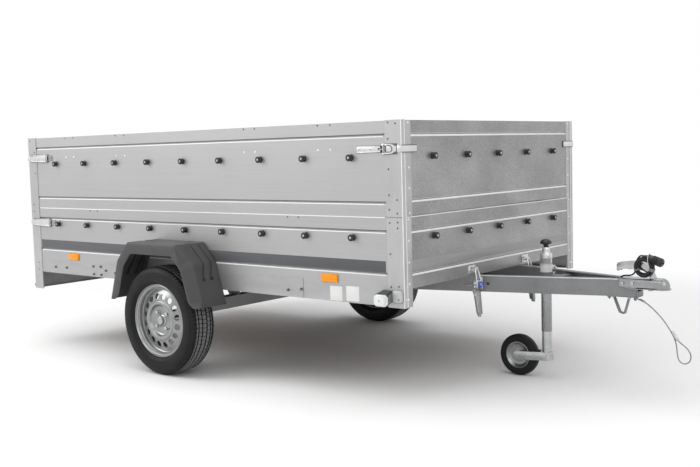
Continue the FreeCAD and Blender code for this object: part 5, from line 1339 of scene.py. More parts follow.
@dataclass
class Latches:
    """The six over-centre latches at the box's corners, and the keepers' pressed beads and dots, with painted shade
    round them.
    """

    skin: float = SIDE_SKIN
    outer: float = 760.3

    def latch(self, former: Former, lever: Flat, strap: Flat, z: float) -> None:
        """Form one latch on the left side.

        Args:
            former: What it is formed with.
            lever: The lever's free end and its pivot, along the trailer.
            strap: The strap's ends, from the pivot.
            z: Height of its centre.
        """
        free, pivot = lever
        way = 1 if free > pivot else -1
        near, far = strap
        y = self.skin
        former.finish = 0 if way > 0 else 3
        base = [(near + way * 20, z - 13), (far + way * 4, z - 13), (far, z - 9), (far, z + 9), (far + way * 4, z + 13),
                (near + way * 20, z + 13)]
        former.prism(base, y, y + 3.0, edge=0.8)
        for rise in (-11.4, 11.4):
            former.bar([(far + way * 5, y + 3.2, z + rise), (near, y + 3.2, z + rise)], 1.5, 8)
        for share in (0.10, 0.56) if way > 0 else ():
            x = far + (near - far) * share
            former.lathe([(0, 0), (6.0, 0), (5.4, 1.4), (3.4, 2.4), (0, 2.8)], (x, y + 2.9, z), (0, 1, 0), 18)
            former.finish = 2
            former.lathe([(0, 0), (2.8, 0), (2.4, 0.8), (0, 0.9)], (x, y + 5.4, z), (0, 1, 0), 14)
            former.finish = 0
        # The strap's slot, painted black as the shade inside it.
        former.finish = 1
        slot = [(far + (near - far) * 0.87 + u, z + 1.0 + v) for u, v in rounded(5.0, 3.6, 3.0, 20)]
        former.prism(slot, y + 2.8, y + 3.6, Plane.XZ)
        former.finish = 0
        cover = [
            (pivot, z - 18), (pivot + way * 12, z - 21), (free - way * 20, z - 19), (free - way * 3, z - 12),
            (free, z - 8), (free, z + 8), (free - way * 3, z + 12), (free - way * 20, z + 19),
            (pivot + way * 12, z + 21), (pivot, z + 18),
        ]
        former.prism(cover, self.outer, self.outer + 5.5, edge=1.6)
        for rise in (-1, 1):
            flange = [
                (pivot + way * 2, z + rise * 21), (free - way * 20, z + rise * 18.6), (free - way * 6, z + rise * 13),
                (free - way * 7, z + rise * 11), (free - way * 21, z + rise * 16), (pivot + way * 2, z + rise * 18),
            ]
            former.prism(flange, self.outer + 5.0, self.outer + 11.6, edge=0.7)
        x = pivot + way * 10
        former.bar([(x, self.outer + 8.2, z - 21.2), (x, self.outer + 8.2, z + 21.2)], 3.0, 14)
        # Painted shade: the wire loop darkened, an outline plate under the cover, and lines along the strap's edges.
        former.finish = 2
        if way > 0:
            ring = ((20, -13), (46, -13), (54, -6), (54, 6), (46, 13), (20, 13), (20, -13))
            former.bar([(pivot + u, self.outer + 7.2, z + v) for u, v in ring], 1.5, 10)
        former.block(
            (pivot - way * 6, self.outer - 0.9, z - 22.6), (free + way * 1.5, self.outer + 0.2, z + 22.6), 0.3
        )
        for rise in (-14.0, 14.0):
            former.block((near, y - 0.2, z + rise - 1.2), (far, y + 0.5, z + rise + 1.2), 0.2)
        former.finish = 1
        for rise in (-9.0, 8.0) if way > 0 else ():
            former.lathe([(0, -6), (5.6, -6), (5.6, 6), (0, 6)], (pivot + 3, self.outer + 9.0, z + rise), (0, 0, 1), 16)

    def build(self) -> None:
        """Make the latches, and the beads and dots of the keepers on each end board."""
        former = Former()
        self.latch(former, (926.6, 851.0), (851.0, 714.0), 1083.0)
        self.latch(former, (-1729.6, -1562.0), (-1562.0, -1517.0), 1083.0)
        self.latch(former, (-1729.6, -1562.0), (-1562.0, -1517.0), 715.0)
        former.mirror()
        finishes = (BRIGHT, BLACK_NYLON_AND_PAINTED_SHADE, DULL_ZINC_AND_PAINTED_SHADE, PRESSED)
        former.make("overcentre_latches", "box", finishes, ("latches",), 34)
        for word, face, way, z, body in (
            ("front", 951.8, 1, 1083.0, "front_flap"), ("rear", -1754.8, -1, 1083.0, "rear_flap"),
            ("tailgate", -1754.8, -1, 715.0, "tailgate"),
        ):
            beads = Former()
            outside = face + way * 0.5
            beads.block((face - way * 1.0, 656.4, z - 12.7), (outside, 763.6, z + 12.7), 0.4)
            beads.block((face - way * 22.8, 762.4, z - 12.7), (outside, 763.9, z + 12.7), 0.4)
            for rise in (-10.8, 10.8):
                beads.bar([(face - way * 0.6, 665.0, z + rise), (face - way * 0.6, 756.0, z + rise)], 1.4, 8)
            for y in (676.0, 700.0, 724.0):
                beads.lathe([(0, 0.1), (5.4, 0.1), (4.6, 1.6), (0, 2.1)], (face, y, z), (way, 0, 0), 16)
            # Painted shade: dark lines along the keeper's edges.
            beads.finish = 1
            for rise in (-14.2, 14.2):
                beads.block(
                    (face - way * 3.1, 656.0, z + rise - 1.6), (face + way * 0.6, 757.0, z + rise + 1.6), 0.3
                )
            beads.mirror()
            beads.make(f"{word}_keeper_beads", body, (BRIGHT, DULL_ZINC_AND_PAINTED_SHADE))


# Knobs and rivets


@dataclass
class RopeKnobs:
    """The moulded rope knobs along the boards, each on its bright screw."""

    first: float = -1482.0
    pitch: float = 270.3
    across: tuple[float, ...] = (-534.0, -267.0, 0.0, 267.0, 534.0)
    upper: float = 1050.0
    lower: float = 709.0

    def build(self) -> None:
        """Set every knob on its board."""
        kind = Fasteners(
            "rope_knob",
            [
                Layer(15.0, 14.4, 3.6, 0.0, BLACK_NYLON_AND_PAINTED_SHADE, 28), Layer(12.6, 8.2, 4.2, 3.6, BLACK_NYLON_AND_PAINTED_SHADE, 28),
                Layer(8.2, 8.2, 5.0, 7.4, BLACK_NYLON_AND_PAINTED_SHADE, 24), Layer(9.4, 14.6, 2.2, 12.2, BLACK_NYLON_AND_PAINTED_SHADE, 28),
                Layer(15.0, 14.8, 5.0, 14.4, BLACK_NYLON_AND_PAINTED_SHADE, 28), Layer(14.8, 12.2, 2.2, 19.4, BLACK_NYLON_AND_PAINTED_SHADE, 28),
                Layer(5.4, 4.4, 1.2, 21.6, PLATED, 20),
            ],
        )
        sides = [
            ((self.first + self.pitch * i, s * SIDE_SKIN, z), (0.0, float(s), 0.0))
            for z in (self.upper, self.lower) for s in (1, -1) for i in range(9)
        ]
        front = [((FRONT_SKIN, y, self.lower), (1.0, 0.0, 0.0)) for y in self.across]
        kind.place(sides + front, "side_rope_knobs", "box", "black_plastic", ("rope_knobs",))
        for name, body, node, x, z, way in (
            ("front_flap_rope_knobs", "front_flap", "front_knobs", FRONT_SKIN, self.upper, 1.0),
            ("rear_flap_rope_knobs", "rear_flap", "rear_knobs", REAR_SKIN, self.upper, -1.0),
            ("tailgate_rope_knobs", "tailgate", "tailgate_knobs", REAR_SKIN, self.lower, -1.0),
        ):
            kind.place([((x, y, z), (way, 0.0, 0.0)) for y in self.across], name, body, "black_plastic", (node,))


@dataclass
class Rivets:
    """Blind rivets of the posts and rails, and the bolts of the frame."""

    post: tuple[Flat, ...] = (
        (880, 1125), (880, 1000), (880, 892), (880, 832), (880, 777), (880, 647), (880, 509), (921, 873), (921, 817),
        (921, 780), (921, 756), (921, 513), (882, 1192), (920, 1187), (-1731, 1185), (-1690, 1120), (-1690, 998),
        (-1723, 817), (-1724, 777), (-1706, 477), (-1710, 437),
    )
    upper_margin: tuple[float, ...] = (1190.0, 1005.0, 920.0, 817.0)
    lower_margin: tuple[Flat, ...] = ((721, 791), (721, 701), (721, 611), (721, 521), (746, 459), (731, 457))
    ribs: tuple[Flat, ...] = ((-1385, -1312), (-930, -858), (36, 108), (495, 567))
    joints: tuple[Flat, ...] = ((-1185, -1119), (299, 365))
    rail: tuple[Flat, ...] = ((-1539, 460), (-1432, 461), (-1179, 482), (-1113, 484), (-1177, 439), (-1111, 439))
    plates: tuple[Flat, ...] = ((-1066, 465), (-984, 456), (-620, 460), (291, 456), (373, 465))
    plate_face: float = 759.5

    def build(self) -> None:
        """Set every rivet and bolt on its face."""
        rivet = Fasteners(
            "blind_rivet", [Layer(4.4, 3.9, 0.9, 0.0, DULL_ZINC_AND_PAINTED_SHADE, 12), Layer(3.8, 2.0, 0.9, 0.9, DULL_ZINC_AND_PAINTED_SHADE, 12)]
        )
        ribs = [x for pair in self.ribs for x in pair]
        spots = both_sides(self.post, POST_FACE) + both_sides([(x, 1193.0) for x in ribs], SIDE_SKIN)
        spots += both_sides([(x, 789.0) for pair in self.joints for x in pair], SIDE_SKIN)
        rivet.place(spots, "post_rivets", "box", "zinc_plated_steel")
        pale = Fasteners(
            "pale_rivet", [Layer(5.0, 4.6, 0.9, 0.0, PALE_ZINC_AND_PAINTED_HIGHLIGHT, 14), Layer(4.2, 2.4, 0.9, 0.9, PALE_ZINC_AND_PAINTED_HIGHLIGHT, 14)]
        )
        spots = both_sides([(x, 1086.0) for x in ribs], SIDE_SKIN)
        spots += [((947.4, s * y, z), (1.0, 0.0, 0.0)) for y, z in self.lower_margin for s in (1, -1)]
        pale.place(spots, "pale_board_rivets", "box", "zinc_plated_steel")
        spots = [((947.4, s * 709.0, z), (1.0, 0.0, 0.0)) for z in self.upper_margin for s in (1, -1)]
        pale.place(spots, "front_flap_rivets", "front_flap", "zinc_plated_steel")
        bolt = Fasteners(
            "frame_bolt",
            [
                Layer(8.4, 8.4, 1.4, 0.0, PLATED, 18), Layer(6.8, 6.8, 4.6, 1.4, DULL_ZINC_AND_PAINTED_SHADE, 6),
                Layer(5.8, 4.6, 0.8, 6.0, DULL_ZINC_AND_PAINTED_SHADE, 12),
            ],
        )
        spots = both_sides(self.rail, SIDE_SKIN) + both_sides(self.plates, self.plate_face)
        bolt.place(spots, "rail_bolts", "box", "zinc_plated_steel")


# Lights


@dataclass
class RearLights:
    """The rear lamps in three lenses, and the rubber buffers."""

    inner: float = 480.0
    outer: float = 700.0
    low: float = 336.0
    high: float = 416.0
    face: float = -1743.5

    def build(self) -> None:
        """Mould housings, lenses and buffers."""
        lamp = Former()
        lamp.block((self.face - 10.0, self.inner, self.low), (self.face, self.outer, self.high), 3.0)
        width = self.outer - self.inner
        for finish, start, end in ((2, 0.02, 0.34), (1, 0.355, 0.66), (3, 0.675, 0.98)):
            lamp.finish = finish
            low, high = self.inner + width * start, self.inner + width * end
            lamp.block((self.face - 23.0, low, self.low + 4.0), (self.face - 9.0, high, self.high - 4.0), 4.0)
        lamp.mirror()
        lamp.make("rear_lamp_lenses", "box", (BLACK_NYLON_AND_PAINTED_SHADE, AMBER, RED, CLEAR), ("rear_lamps",))
        buffer = Former()
        stub = [
            (0, 0), (12.4, 0), (13.0, 1.2), (13.0, 8.0), (11.4, 10.0), (11.4, 20.0), (10.4, 26.0), (7.0, 29.4),
            (0, 30.0),
        ]
        buffer.lathe(stub, (self.face, 743.0, 341.0), (-1, 0, 0), 32)
        buffer.mirror()
        buffer.make("rear_rubber_buffers", "box", (RUBBER,), ("buffers",))


@dataclass
class DrawbarLegs:
    """A painted highlight along the upper edge of each drawbar leg, and a black disc painted as the shade of the hole
    in each.
    """

    start: Point = (953.0, 218.8, 498.8)
    end: Point = (1560.0, 49.2, 498.8)
    hole: Point = (1009.0, 203.4, 462.0)

    def build(self) -> None:
        """Draw the painted highlights along the edges and lay the black discs over the holes."""
        legs = Former()
        legs.bar((self.start, self.end), 1.5, 10)
        along = (Vector(self.end) - Vector(self.start)).normalized()
        legs.finish = 1
        legs.lathe([(0, -1.0), (7.0, -1.0), (7.0, 0.5), (0, 0.5)], self.hole, (-along.y, along.x, 0.0), 20)
        legs.mirror()
        legs.make("drawbar_leg_edge_highlights", "chassis", (PALE_ZINC_AND_PAINTED_HIGHLIGHT, BLACK_NYLON_AND_PAINTED_SHADE))


@dataclass
class SideLights:
    """Side reflectors and the front position lamps on their rubber arms."""

    lens: Flat = (870.5, 459.0)
    octagon: tuple[Flat, ...] = ((-34, -14), (-24, -25), (22, -25), (34, -14), (34, 14), (22, 25), (-24, 25), (-34, 14))

    def build(self) -> None:
        """Mould reflectors, lamps and arms."""
        reflector = Former()
        for low, high in ((492.5, 589.5), (-1404.5, -1307.5)):
            reflector.finish = 1
            reflector.block((low, 757.6, 507.0), (high, 761.5, 545.0), 1.4)
            reflector.finish = 0
            reflector.block((low + 2.5, 760.5, 509.5), (high - 2.5, 765.3, 542.5), 2.2)
        reflector.mirror()
        reflector.make("amber_side_reflectors", "box", (AMBER, AMBER_RIM), ("side_reflectors",))
        x, z = self.lens
        lamp = Former()
        lamp.finish = 1
        for scale, low, high, edge in ((0.94, 804.2, 814.0, 2.0), (0.84, 800.5, 806.0, 1.6)):
            lamp.prism([(x + u * scale, z + v * scale) for u, v in self.octagon], low, high, edge=edge)
        lamp.finish = 0
        lamp.prism([(x + u, z + v) for u, v in self.octagon], 813.0, 827.0, edge=3.0)
        lamp.prism([(x + u * 0.84, z + v * 0.84) for u, v in self.octagon], 826.0, 833.8, edge=3.6)
        lamp.finish = 1
        lamp.lathe([(0, 0), (3.2, 0), (2.8, 0.9), (0, 1.2)], (x, 833.4, z), (0, 1, 0), 16)
        lamp.mirror()
        lamp.make("front_position_lamps", "box", (CLEAR, BLACK_NYLON_AND_PAINTED_SHADE), ("front_lamps",))
        pod = Former()
        # Painted shade: a darker outline plate round each pod.
        pod.finish = 2
        pod.prism([(913.6 + u, 470.2 + v) for u, v in rounded(28.2, 27.4, 5.0, 36)], 759.6, 761.0, edge=0.4)
        pod.finish = 0
        for scale, low, high, edge in ((1.0, 759.8, 765.0, 1.5), (0.86, 763.0, 770.5, 4.0)):
            shape = [(914.0 + u * scale, 470.5 + v * scale) for u, v in rounded(26.5, 26.0, 5.0, 36)]
            pod.prism(shape, low, high, edge=edge)
        pod.finish = 1
        pod.lathe([(0, 0), (3.4, 0), (3.0, 1.2), (0, 1.6)], (926.0, 770.4, 459.0), (0, 1, 0), 16)
        pod.mirror()
        pod.make("post_pods", "box", (MILKY, DULL_ZINC_AND_PAINTED_SHADE, PAINTED_SHADE_AND_JOINT))
        arms = Former()
        rings = []
        for share in (i / 4 for i in range(5)):
            rings.append([
                (860.0 + 8.5 * share + u, 760.4 + 53.0 * share, 469.0 - 9.5 * share + v)
                for u, v in rounded(29.0 + 7.0 * share, 25.0, 9.0, 32)
            ])
        arms.loft(rings)
        # Painted light: the arms' forward faces take the paler grey.
        for face in arms.whole.faces:
            face.normal_update()
            face.material_index = 1 if face.normal.x > 0.8 else 0
        arms.mirror()
        arms.make("lamp_rubber_arms", "box", (BLACK_NYLON_AND_PAINTED_SHADE, GREY_TIE_AND_PAINTED_LIGHT), ("lamp_arms",))


# Stripes and plates


@dataclass
class Trim:
    """The plain stripes on the boards, painted highlight and shade along their folds, hems and corners, their margins,
    and the blank plates on the rails.
    """

    lift: float = 0.35
    rear: float = -1666.5
    front: float = 853.5
    side_folds: tuple[float, ...] = (560.0, 738.0, 858.0, 1140.0)

    def build(self) -> None:
        """Lay stripes, painted fold light, margins and plates."""
        stripe = Former()
        stripe.block((self.rear, 757.4, 567.4), (self.front, SIDE_SKIN + self.lift, 615.0), 0.1)
        stripe.mirror()
        stripe.make("side_stripes", "box", (STRIPE,))
        lips = Former()
        # Painted highlight along the side boards' hem, and along each fold painted highlight on the lower wall and
        # painted shade on the upper.
        lips.block((self.rear, 752.0, 796.2), (self.front, 758.1, 800.2), 0.7)
        for z in self.side_folds:
            lips.finish = 0
            lips.block((self.rear, 753.0, z - 7.4), (self.front, 757.9, z - 2.6), 0.6)
            lips.finish = 1
            lips.block((self.rear, 753.0, z + 2.6), (self.front, 757.2, z + 6.8), 0.3)
        # The joint line across the front post, between the lower and the upper board.
        lips.block((858.0, 759.4, 799.8), (944.0, 760.6, 801.8), 0.2)
        lips.mirror()
        lips.make("side_board_painted_fold_light", "box", (PAINTED_HIGHLIGHT, PAINTED_SHADE_AND_JOINT))
        # Painted highlight along the folds of the end boards.
        for name, body, skin, half, folds in (
            ("front_board_fold_highlights", "box", FRONT_SKIN, 700.0, (560.0, 738.0)),
            ("front_flap_fold_highlights", "front_flap", FRONT_SKIN, 692.0, (866.5, 1140.0)),
            ("rear_flap_fold_highlights", "rear_flap", REAR_SKIN, 692.0, (866.5, 1140.0)),
            ("tailgate_fold_highlights", "tailgate", REAR_SKIN, 692.0, (566.0, 735.0)),
        ):
            fold = Former()
            inner, outer = (skin - 4.4, skin + 0.4) if skin > 0 else (skin - 0.4, skin + 4.4)
            for z in folds:
                fold.block((inner, -half, z - 6.8), (outer, half, z + 0.6), 0.6)
            fold.make(name, body, (PALE_ZINC_AND_PAINTED_HIGHLIGHT,))
        for name, body, low, high, near, far in (
            ("lower_board_margins", "box", 424.0, 796.0, 699.0, 737.0),
            ("upper_board_margins", "front_flap", 802.4, 1199.0, 691.0, 733.6),
        ):
            margin = Former()
            margin.block((945.0, near, low), (947.4, far, high), 0.3)
            margin.mirror()
            margin.make(name, body, (POST_ZINC,))
        # The front stripe, painted paler than the side stripes as painted light.
        front = Former()
        front.block((946.4, -714.0, 576.0), (FRONT_SKIN + self.lift, 714.0, 615.0), 0.1)
        front.make("front_stripe", "box", (STRIPE_PAINTED_PALER,))
        # Painted highlight along the front board's hem.
        hem = Former()
        hem.block((940.0, -728.0, 797.6), (946.8, 728.0, 801.4), 0.8)
        hem.make("front_board_hem_highlight", "box", (PALE_ZINC_AND_PAINTED_HIGHLIGHT,))
        # Painted highlight along the rounded corners of the front posts.
        corner = Former()
        for x, y in ((948.2, 759.4), (948.2, 737.2)):
            for low, high in ((425.0, 797.0), (800.0, 1067.0), (1099.0, 1199.5)):
                corner.bar([(x, y, low), (x, y, high)], 1.8, 10)
        corner.mirror()
        corner.make("front_corner_highlights", "box", (PAINTED_HIGHLIGHT,))
        plates = Former()
        plates.block((541.5, -758.1, 428.0), (610.5, -757.4, 492.0), 0.2)
        plates.block((633.5, -758.1, 432.0), (705.5, -757.4, 497.0), 0.2)
        plates.make("blank_rail_plates", "box", (PLATE,))


# Wheels


@dataclass
class RoadWheel:
    """A road tyre on a vented, pressed steel disc wheel."""

    side: int = 1
    axle: Point = (-441.5, 859.5, 270.0)
    radius: float = 269.8
    tread: float = 62.0
    groove: float = 3.5
    depth: float = 6.5
    pitches: int = 80
    cuts: int = 6
    tread_low: float = 261.5
    vents: int = 16
    vent_radius: float = 14.8

    @property
    def word(self) -> str:
        """The side's word in the names."""
        return "left" if self.side > 0 else "right"

    def section(self) -> list[tuple[float, float, float]]:
        """Draw the tyre from its inboard to its outboard bead.

        Returns:
            Offset from the centre plane, radius, and how deep the tread's cross grooves are there.
        """
        rows = [(0.0, 0.0)]
        for middle in (14.0, 37.0):
            rows += [(middle - self.groove, 0.0), (middle - self.groove + 1.0, self.depth)]
            rows += [(middle + self.groove - 1.0, self.depth), (middle + self.groove, 0.0)]
        rows = [(y, self.radius - d - 2.2 * (y / self.tread) ** 2, 0.0 if d else 1.4) for y, d in rows]
        rows += [(47.0, 267.6, 0.0), (48.0, 267.5, 3.5), (58.0, 266.6, 3.5), (self.tread, 264.6, 3.5)]
        rows += [(66.5, 259.5, 3.0), (70.5, 251.5, 2.0), (73.0, 246.0, 0.0), (74.6, 242.5, 0.0), (75.8, 242.0, 0.0)]
        rows += [(76.0, 239.0, 0.0), (75.4, 238.4, 0.0), (76.8, 230.0, 0.0), (77.3, 220.0, 0.0), (76.6, 209.0, 0.0)]
        rows += [(75.6, 203.5, 0.0), (76.2, 202.5, 0.0), (75.6, 199.5, 0.0), (74.2, 199.0, 0.0), (69.5, 190.5, 0.0)]
        rows += [(62.5, 184.5, 0.0), (55.0, 181.0, 0.0), (53.5, 174.0, 0.0), (52.0, 166.5, 0.0)]
        return [(-y, r, c) for y, r, c in rows[:0:-1]] + rows

    def tyre(self) -> None:
        """Mould the tyre with its grooves."""
        rows = self.section()
        steps = self.pitches * self.cuts
        part = bmesh.new()
        rings = []
        for y, radius, cross in rows:
            ring = []
            for i in range(steps):
                angle = math.tau * (i + (2.6 if y > 14 else 1.2 if y < -14 else 0.0)) / steps
                r = radius - (cross if i % self.cuts == 0 else 0.0)
                ring.append(part.verts.new((r * math.cos(angle), y, r * math.sin(angle))))
            rings.append(ring)
        for k in range(len(rings)):
            one, two = rings[k], rings[(k + 1) % len(rings)]
            row, after = rows[k], rows[(k + 1) % len(rows)]
            top = k + 1 < len(rows) and min(row[1], after[1]) > self.tread_low and abs(row[0] + after[0]) < 96
            for i in range(steps):
                j = (i + 1) % steps
                face = part.faces.new((one[i], one[j], two[j], two[i]))
                worn = top and abs(row[1] - after[1]) < 3 and i % self.cuts
                face.material_index = 1 if worn else 0
        bmesh.ops.recalc_face_normals(part, faces=part.faces)
        x, y, z = self.axle
        bmesh.ops.transform(part, matrix=Matrix.Translation((x, y * self.side, z)), verts=part.verts)
        piece = Former()
        piece.whole.free()
        piece.whole = part
        name = f"road_tyre_{self.word}"
        piece.make(name, f"wheel_{self.word}", (TYRE, TREAD), (f"tyre_{self.word}",), 30)

    def disc(self) -> None:
        """Press the rim and its disc, and pierce the vents."""
        x, y, z = self.axle
        origin, out = (x, y * self.side, z), (0, self.side, 0)
        face = [
            (182.4, 59.0), (182.0, 61.0), (180.4, 62.0), (178.6, 61.6), (177.4, 59.5), (175.5, 55.5), (170.0, 53.0),
            (164.5, 51.0), (161.8, 47.0), (161.4, 38.0), (160.2, 32.0), (157.0, 29.5), (152.5, 30.0), (146.0, 33.5),
            (138.0, 38.0), (131.0, 41.2), (121.0, 44.5), (111.0, 47.0), (104.0, 48.6), (100.5, 50.0), (98.5, 53.0),
            (96.5, 55.2), (93.0, 56.2), (86.0, 56.2), (82.0, 55.0), (79.5, 52.0), (77.5, 47.0), (75.0, 41.0),
            (71.5, 37.5), (67.0, 35.5), (60.0, 34.2), (40.0, 34.0), (34.0, 34.2), (31.5, 35.4), (29.8, 35.2),
            (28.6, 33.0),
        ]
        rear = [
            (28.6, 30.0), (60.0, 30.0), (69.0, 31.6), (74.8, 34.8), (78.8, 40.0), (81.2, 46.0), (83.2, 51.0),
            (87.0, 52.2), (92.0, 52.2), (94.6, 50.6), (97.0, 47.0), (102.0, 45.2), (121.0, 40.6), (136.0, 34.6),
            (146.0, 29.6), (153.0, 26.2), (158.4, 24.0), (160.0, 10.0), (160.0, -20.0), (163.6, -48.0),
            (174.0, -53.0), (177.4, -59.5), (178.6, -61.6), (180.4, -62.0), (182.0, -61.0), (182.4, -59.0),
            (180.6, -56.0), (176.6, -54.0), (167.0, -51.0), (165.2, -46.0), (163.2, -20.0), (163.2, 10.0),
            (164.8, 36.0), (166.0, 48.0), (172.0, 51.5), (178.0, 54.5), (181.4, 57.0),
        ]
        former = Former()
        former.lathe(face + rear, origin, out, 128, loop=True)
        blank = bpy.data.meshes.new("disc_blank")
        former.whole.to_mesh(blank)
        former.whole.free()
        body = put("disc_blank", blank)
        punch = Former()
        for i in range(self.vents):
            angle = math.tau * (i + 0.5) / self.vents
            spot = (x + 121.0 * math.cos(angle), (y + 20.0) * self.side, z + 121.0 * math.sin(angle))
            punch.lathe([(0, 0), (self.vent_radius, 0), (self.vent_radius, 50), (0, 50)], spot, out, 24)
        punches = bpy.data.meshes.new("disc_punches")
        punch.whole.to_mesh(punches)
        punch.whole.free()
        tool = put("disc_punches", punches)
        cutter = body.modifiers.new("vents", "BOOLEAN")
        cutter.operation, cutter.object, cutter.solver = "DIFFERENCE", tool, "EXACT"
        graph = bpy.context.evaluated_depsgraph_get()
        mesh = bpy.data.meshes.new_from_object(body.evaluated_get(graph))
        for thing in (body, tool):
            bpy.data.objects.remove(thing)
        piece = Former()
        piece.whole.from_mesh(mesh)
        bpy.data.meshes.remove(mesh)
        name = f"wheel_disc_{self.word}"
        piece.make(name, f"wheel_{self.word}", (LACQUER,), (f"rim_{self.word}",), 32)

    def hub(self) -> None:
        """Turn the hub and its pressed cap."""
        x, y, z = self.axle
        origin, out = (x, y * self.side, z), (0, self.side, 0)
        hub = Former()
        hub.lathe(
            [
                (0, -62), (20, -66), (22, -68), (40, -68), (42, -66), (42, 14), (46, 18), (64, 18), (66, 20),
                (66, 28.4), (64.5, 29.6), (28.2, 29.6), (27.8, 31), (27.4, 36), (22.0, 38), (20.6, 40), (20.6, 50),
                (19.4, 53.4), (16, 55.4), (6, 55.8), (0, 55.9),
            ],
            origin, out, 64,
        )
        name = f"hub_and_cap_{self.word}"
        hub.make(name, f"wheel_{self.word}", (PLATED,), (f"hub_{self.word}",))

    def bolts(self) -> None:
        """Fit the four wheel bolts."""
        x, y, z = self.axle
        spots = []
        for i in range(4):
            angle = math.tau * (i / 4 + 0.11)
            place = (x + 49.0 * math.cos(angle), (y + 33.0) * self.side, z + 49.0 * math.sin(angle))
            spots.append((place, (0.0, float(self.side), 0.0)))
        kind = Fasteners(
            f"wheel_bolt_{self.word}",
            [
                Layer(12.5, 10.5, 3.0, 0.0, PLATED, 24), Layer(9.6, 9.6, 11.0, 2.0, PLATED, 6),
                Layer(8.6, 7.0, 1.6, 13.0, PLATED, 12),
            ],
        )
        kind.place(spots, f"wheel_bolts_{self.word}", f"wheel_{self.word}", "zinc_plated_steel")

    def build(self) -> None:
        """Make tyre, disc, hub and bolts."""
        self.tyre()
        self.disc()
        self.hub()
        self.bolts()


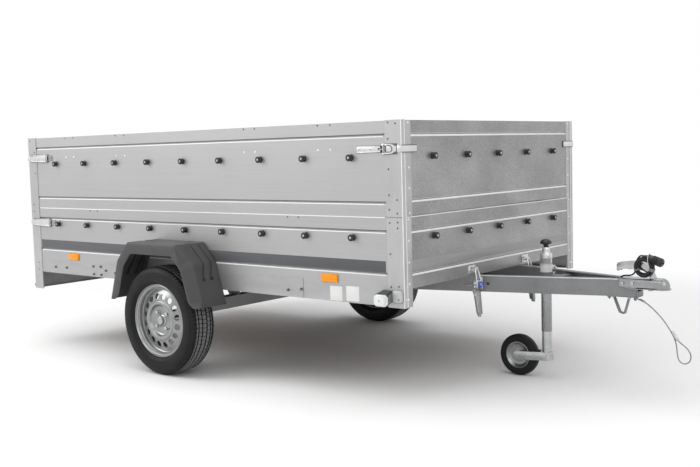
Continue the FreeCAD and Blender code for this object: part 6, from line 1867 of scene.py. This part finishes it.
@dataclass
class Mudguard:
    """A moulded mudguard with a bevelled outer edge and two channels pressed over its back."""

    side: int = 1
    middle: float = -451.5
    inner: float = 759.8
    outer: float = 947.0
    foot: float = 358.0
    sheet: float = 3.4
    corners: tuple[Flat, ...] = ((333.0, 0.0), (268.4, 202.0), (182.5, 298.0))
    rounding: tuple[float, ...] = (9.0, 9.0)
    channels: tuple[Flat, ...] = ((96.0, 118.0), (146.0, 170.0))
    channel_foot: float = 128.0
    channel_depth: float = 3.6
    bevel: float = 32.0

    def ridge(self) -> list[tuple[Vector, Vector, float]]:
        """Trace the outline from the front foot over the top to the rear foot.

        Returns:
            Each place from the middle of the feet, the way inward there for each millimetre of depth, and how far up
            the mudguard it is, from 0 to 1.
        """
        a, b, c = (Vector(p) for p in self.corners)
        top = Vector((0.0, c.y))
        low, slope, flat = (Vector((u.y - v.y, v.x - u.x)).normalized() for u, v in ((a, b), (b, c), (c, top)))
        upright = Vector((-1.0 / -low.x, 0.0))
        ways = [upright, (low + slope) / (1 + low.dot(slope)), (slope + flat) / (1 + slope.dot(flat)), flat]
        stops = [a, b, c, top]
        path: list[tuple[Vector, Vector]] = []
        for number, (start, end) in enumerate(zip(stops, stops[1:])):
            run = (end - start).length
            near, far = (0.0, *self.rounding)[number] / run, (*self.rounding, 0.0)[number] / run
            count = max(3, round(run / 9))
            shares = [near + (1 - near - far) * i / count for i in range(count + 1)]
            path += [(start.lerp(end, t), ways[number].lerp(ways[number + 1], t)) for t in shares]
            if number < 2:
                after = end + (stops[number + 2] - end).normalized() * self.rounding[number]
                before = end + (start - end).normalized() * self.rounding[number]
                for t in (0.25, 0.5, 0.75):
                    path.append((before.lerp(end, t).lerp(end.lerp(after, t), t), ways[number + 1]))
        half = [(p, w, min(1.0, p.y / c.y)) for p, w in path]
        return half + [(Vector((-p.x, p.y)), Vector((-w.x, w.y)), t) for p, w, t in half[-2::-1]]

    def across(self, share: float, front: bool) -> list[tuple[float, float, int]]:
        """Draw the section from the inner lip to the outer lip.

        Args:
            share: How far up the mudguard it is, from 0 at a foot to 1 on top.
            front: Whether it is in the front half, whose outer edge is bevelled.

        Returns:
            Distance inward from the outer face, drop under the outline, and the channel's number plus one on its floor.
        """
        width = self.outer - self.inner
        turned = min(1.0, (1.0 - share) / 0.25) if front else 0.0
        wide, edge = 6.0 + self.bevel * turned, 9.0 + 40.0 * turned
        lip = 55.0 - 26.0 * max(0.0, 1.0 - share / 0.14) ** 2
        edge = min(edge, lip - 4.0)
        rows = [(width, 26.0, 0), (width, 5.0, 0), (width - 1.5, 1.6, 0), (width - 5.0, 0.6, 0)]
        stops: list[tuple[float, float, int]] = []
        for number, (near, far) in enumerate(self.channels, 1):
            stops += [(far + 5.0, 0.0, 0), (far - 3.0, self.channel_depth, number)]
            stops += [(near + inset, self.channel_depth, number) for inset in (9.0, 0.8)] + [(near, 0.0, 0)]
        lean = self.lean(share)
        rows += [(w + lean, 0.6 + d, n) for w, d, n in sorted(stops, reverse=True)]
        rows += [(wide + 3.0, 0.6, 0), (wide, 1.6, 0), (wide * 0.5, (1.6 + edge) / 2 - 1.5, 0), (2.0, edge - 4.0, 0)]
        return rows + [(0.0, edge, 0), (0.0, lip, 0), (0.8, lip + 2.5, 0), (3.5, lip + 3.5, 0)]

    def lean(self, share: float) -> float:
        """Return how far the channels lean inward at a height, from 0 at a foot to 1 on top."""
        return 5.0 - 110.0 * max(0.0, 0.68 - share) - 34.0 * max(0.0, share - 0.68)

    def lining(self, section: Sequence[Vector]) -> list[Vector]:
        """Return the section's inside, one sheet thickness in, in the opposite order."""
        inside = []
        for i, point in enumerate(section):
            normals = []
            for u, v in ((section[max(i - 1, 0)], point), (point, section[min(i + 1, len(section) - 1)])):
                if (v - u).length > 1e-6:
                    normals.append(Vector((v.y - u.y, u.x - v.x)).normalized())
            mean = sum(normals, Vector((0.0, 0.0))) / len(normals)
            inside.append(point + mean * self.sheet / max(0.4, mean.length_squared))
        return inside[::-1]

    def build(self) -> None:
        """Mould the mudguard."""
        rings = []
        for place, way, share in self.ridge():
            section = []
            for w, d, channel in self.across(share, place.x > 0):
                if channel:
                    d = 0.6 + (d - 0.6) * min(1.0, max(0.0, (place.y - self.channel_foot) / 5.0))
                section.append(Vector((w, d)))
            ring = []
            for w, d in section + self.lining(section):
                spot = place + way * d
                ring.append((self.middle + spot.x, (self.outer - w) * self.side, self.foot + spot.y))
            rings.append(ring)
        piece = Former()
        piece.loft(rings)
        # Painted shade: the channel finish along each channel's near wall and across its foot.
        for face in piece.whole.faces:
            place = face.calc_center_median()
            height = place.z - self.foot
            share = min(1.0, height / self.corners[2][1])
            depth = self.outer - abs(place.y) - self.lean(share)
            for near, far in self.channels:
                if height > self.channel_foot - 8.0 and near < depth < near + 8.0:
                    face.material_index = 1
                if abs(height - self.channel_foot) < 8.0 and near < depth < far:
                    face.material_index = 1
        word = "left" if self.side > 0 else "right"
        piece.make(
            f"moulded_mudguard_{word}", "box", (MUDGUARD, CHANNEL_PAINTED_SHADE), (f"mudguard_{word}",), 30
        )


def main() -> None:
    """Build the studio and every piece of the trailer, in order."""
    logging.basicConfig(level=logging.INFO, format="%(name)s: %(message)s")
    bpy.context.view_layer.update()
    Studio().build()
    SafetyCable().build()
    Lead().build()
    dress_frame()
    for side in (1, -1):
        RoadWheel(side).build()
        Mudguard(side).build()
    for assembly in (
        Coupling(), DrawbarLegs(), JockeyWheel(), TippingClamp(), Latches(), RopeKnobs(), Rivets(), RearLights(),
        SideLights(), Trim(),
    ):
        assembly.build()


if __name__ == "__main__":
    main()
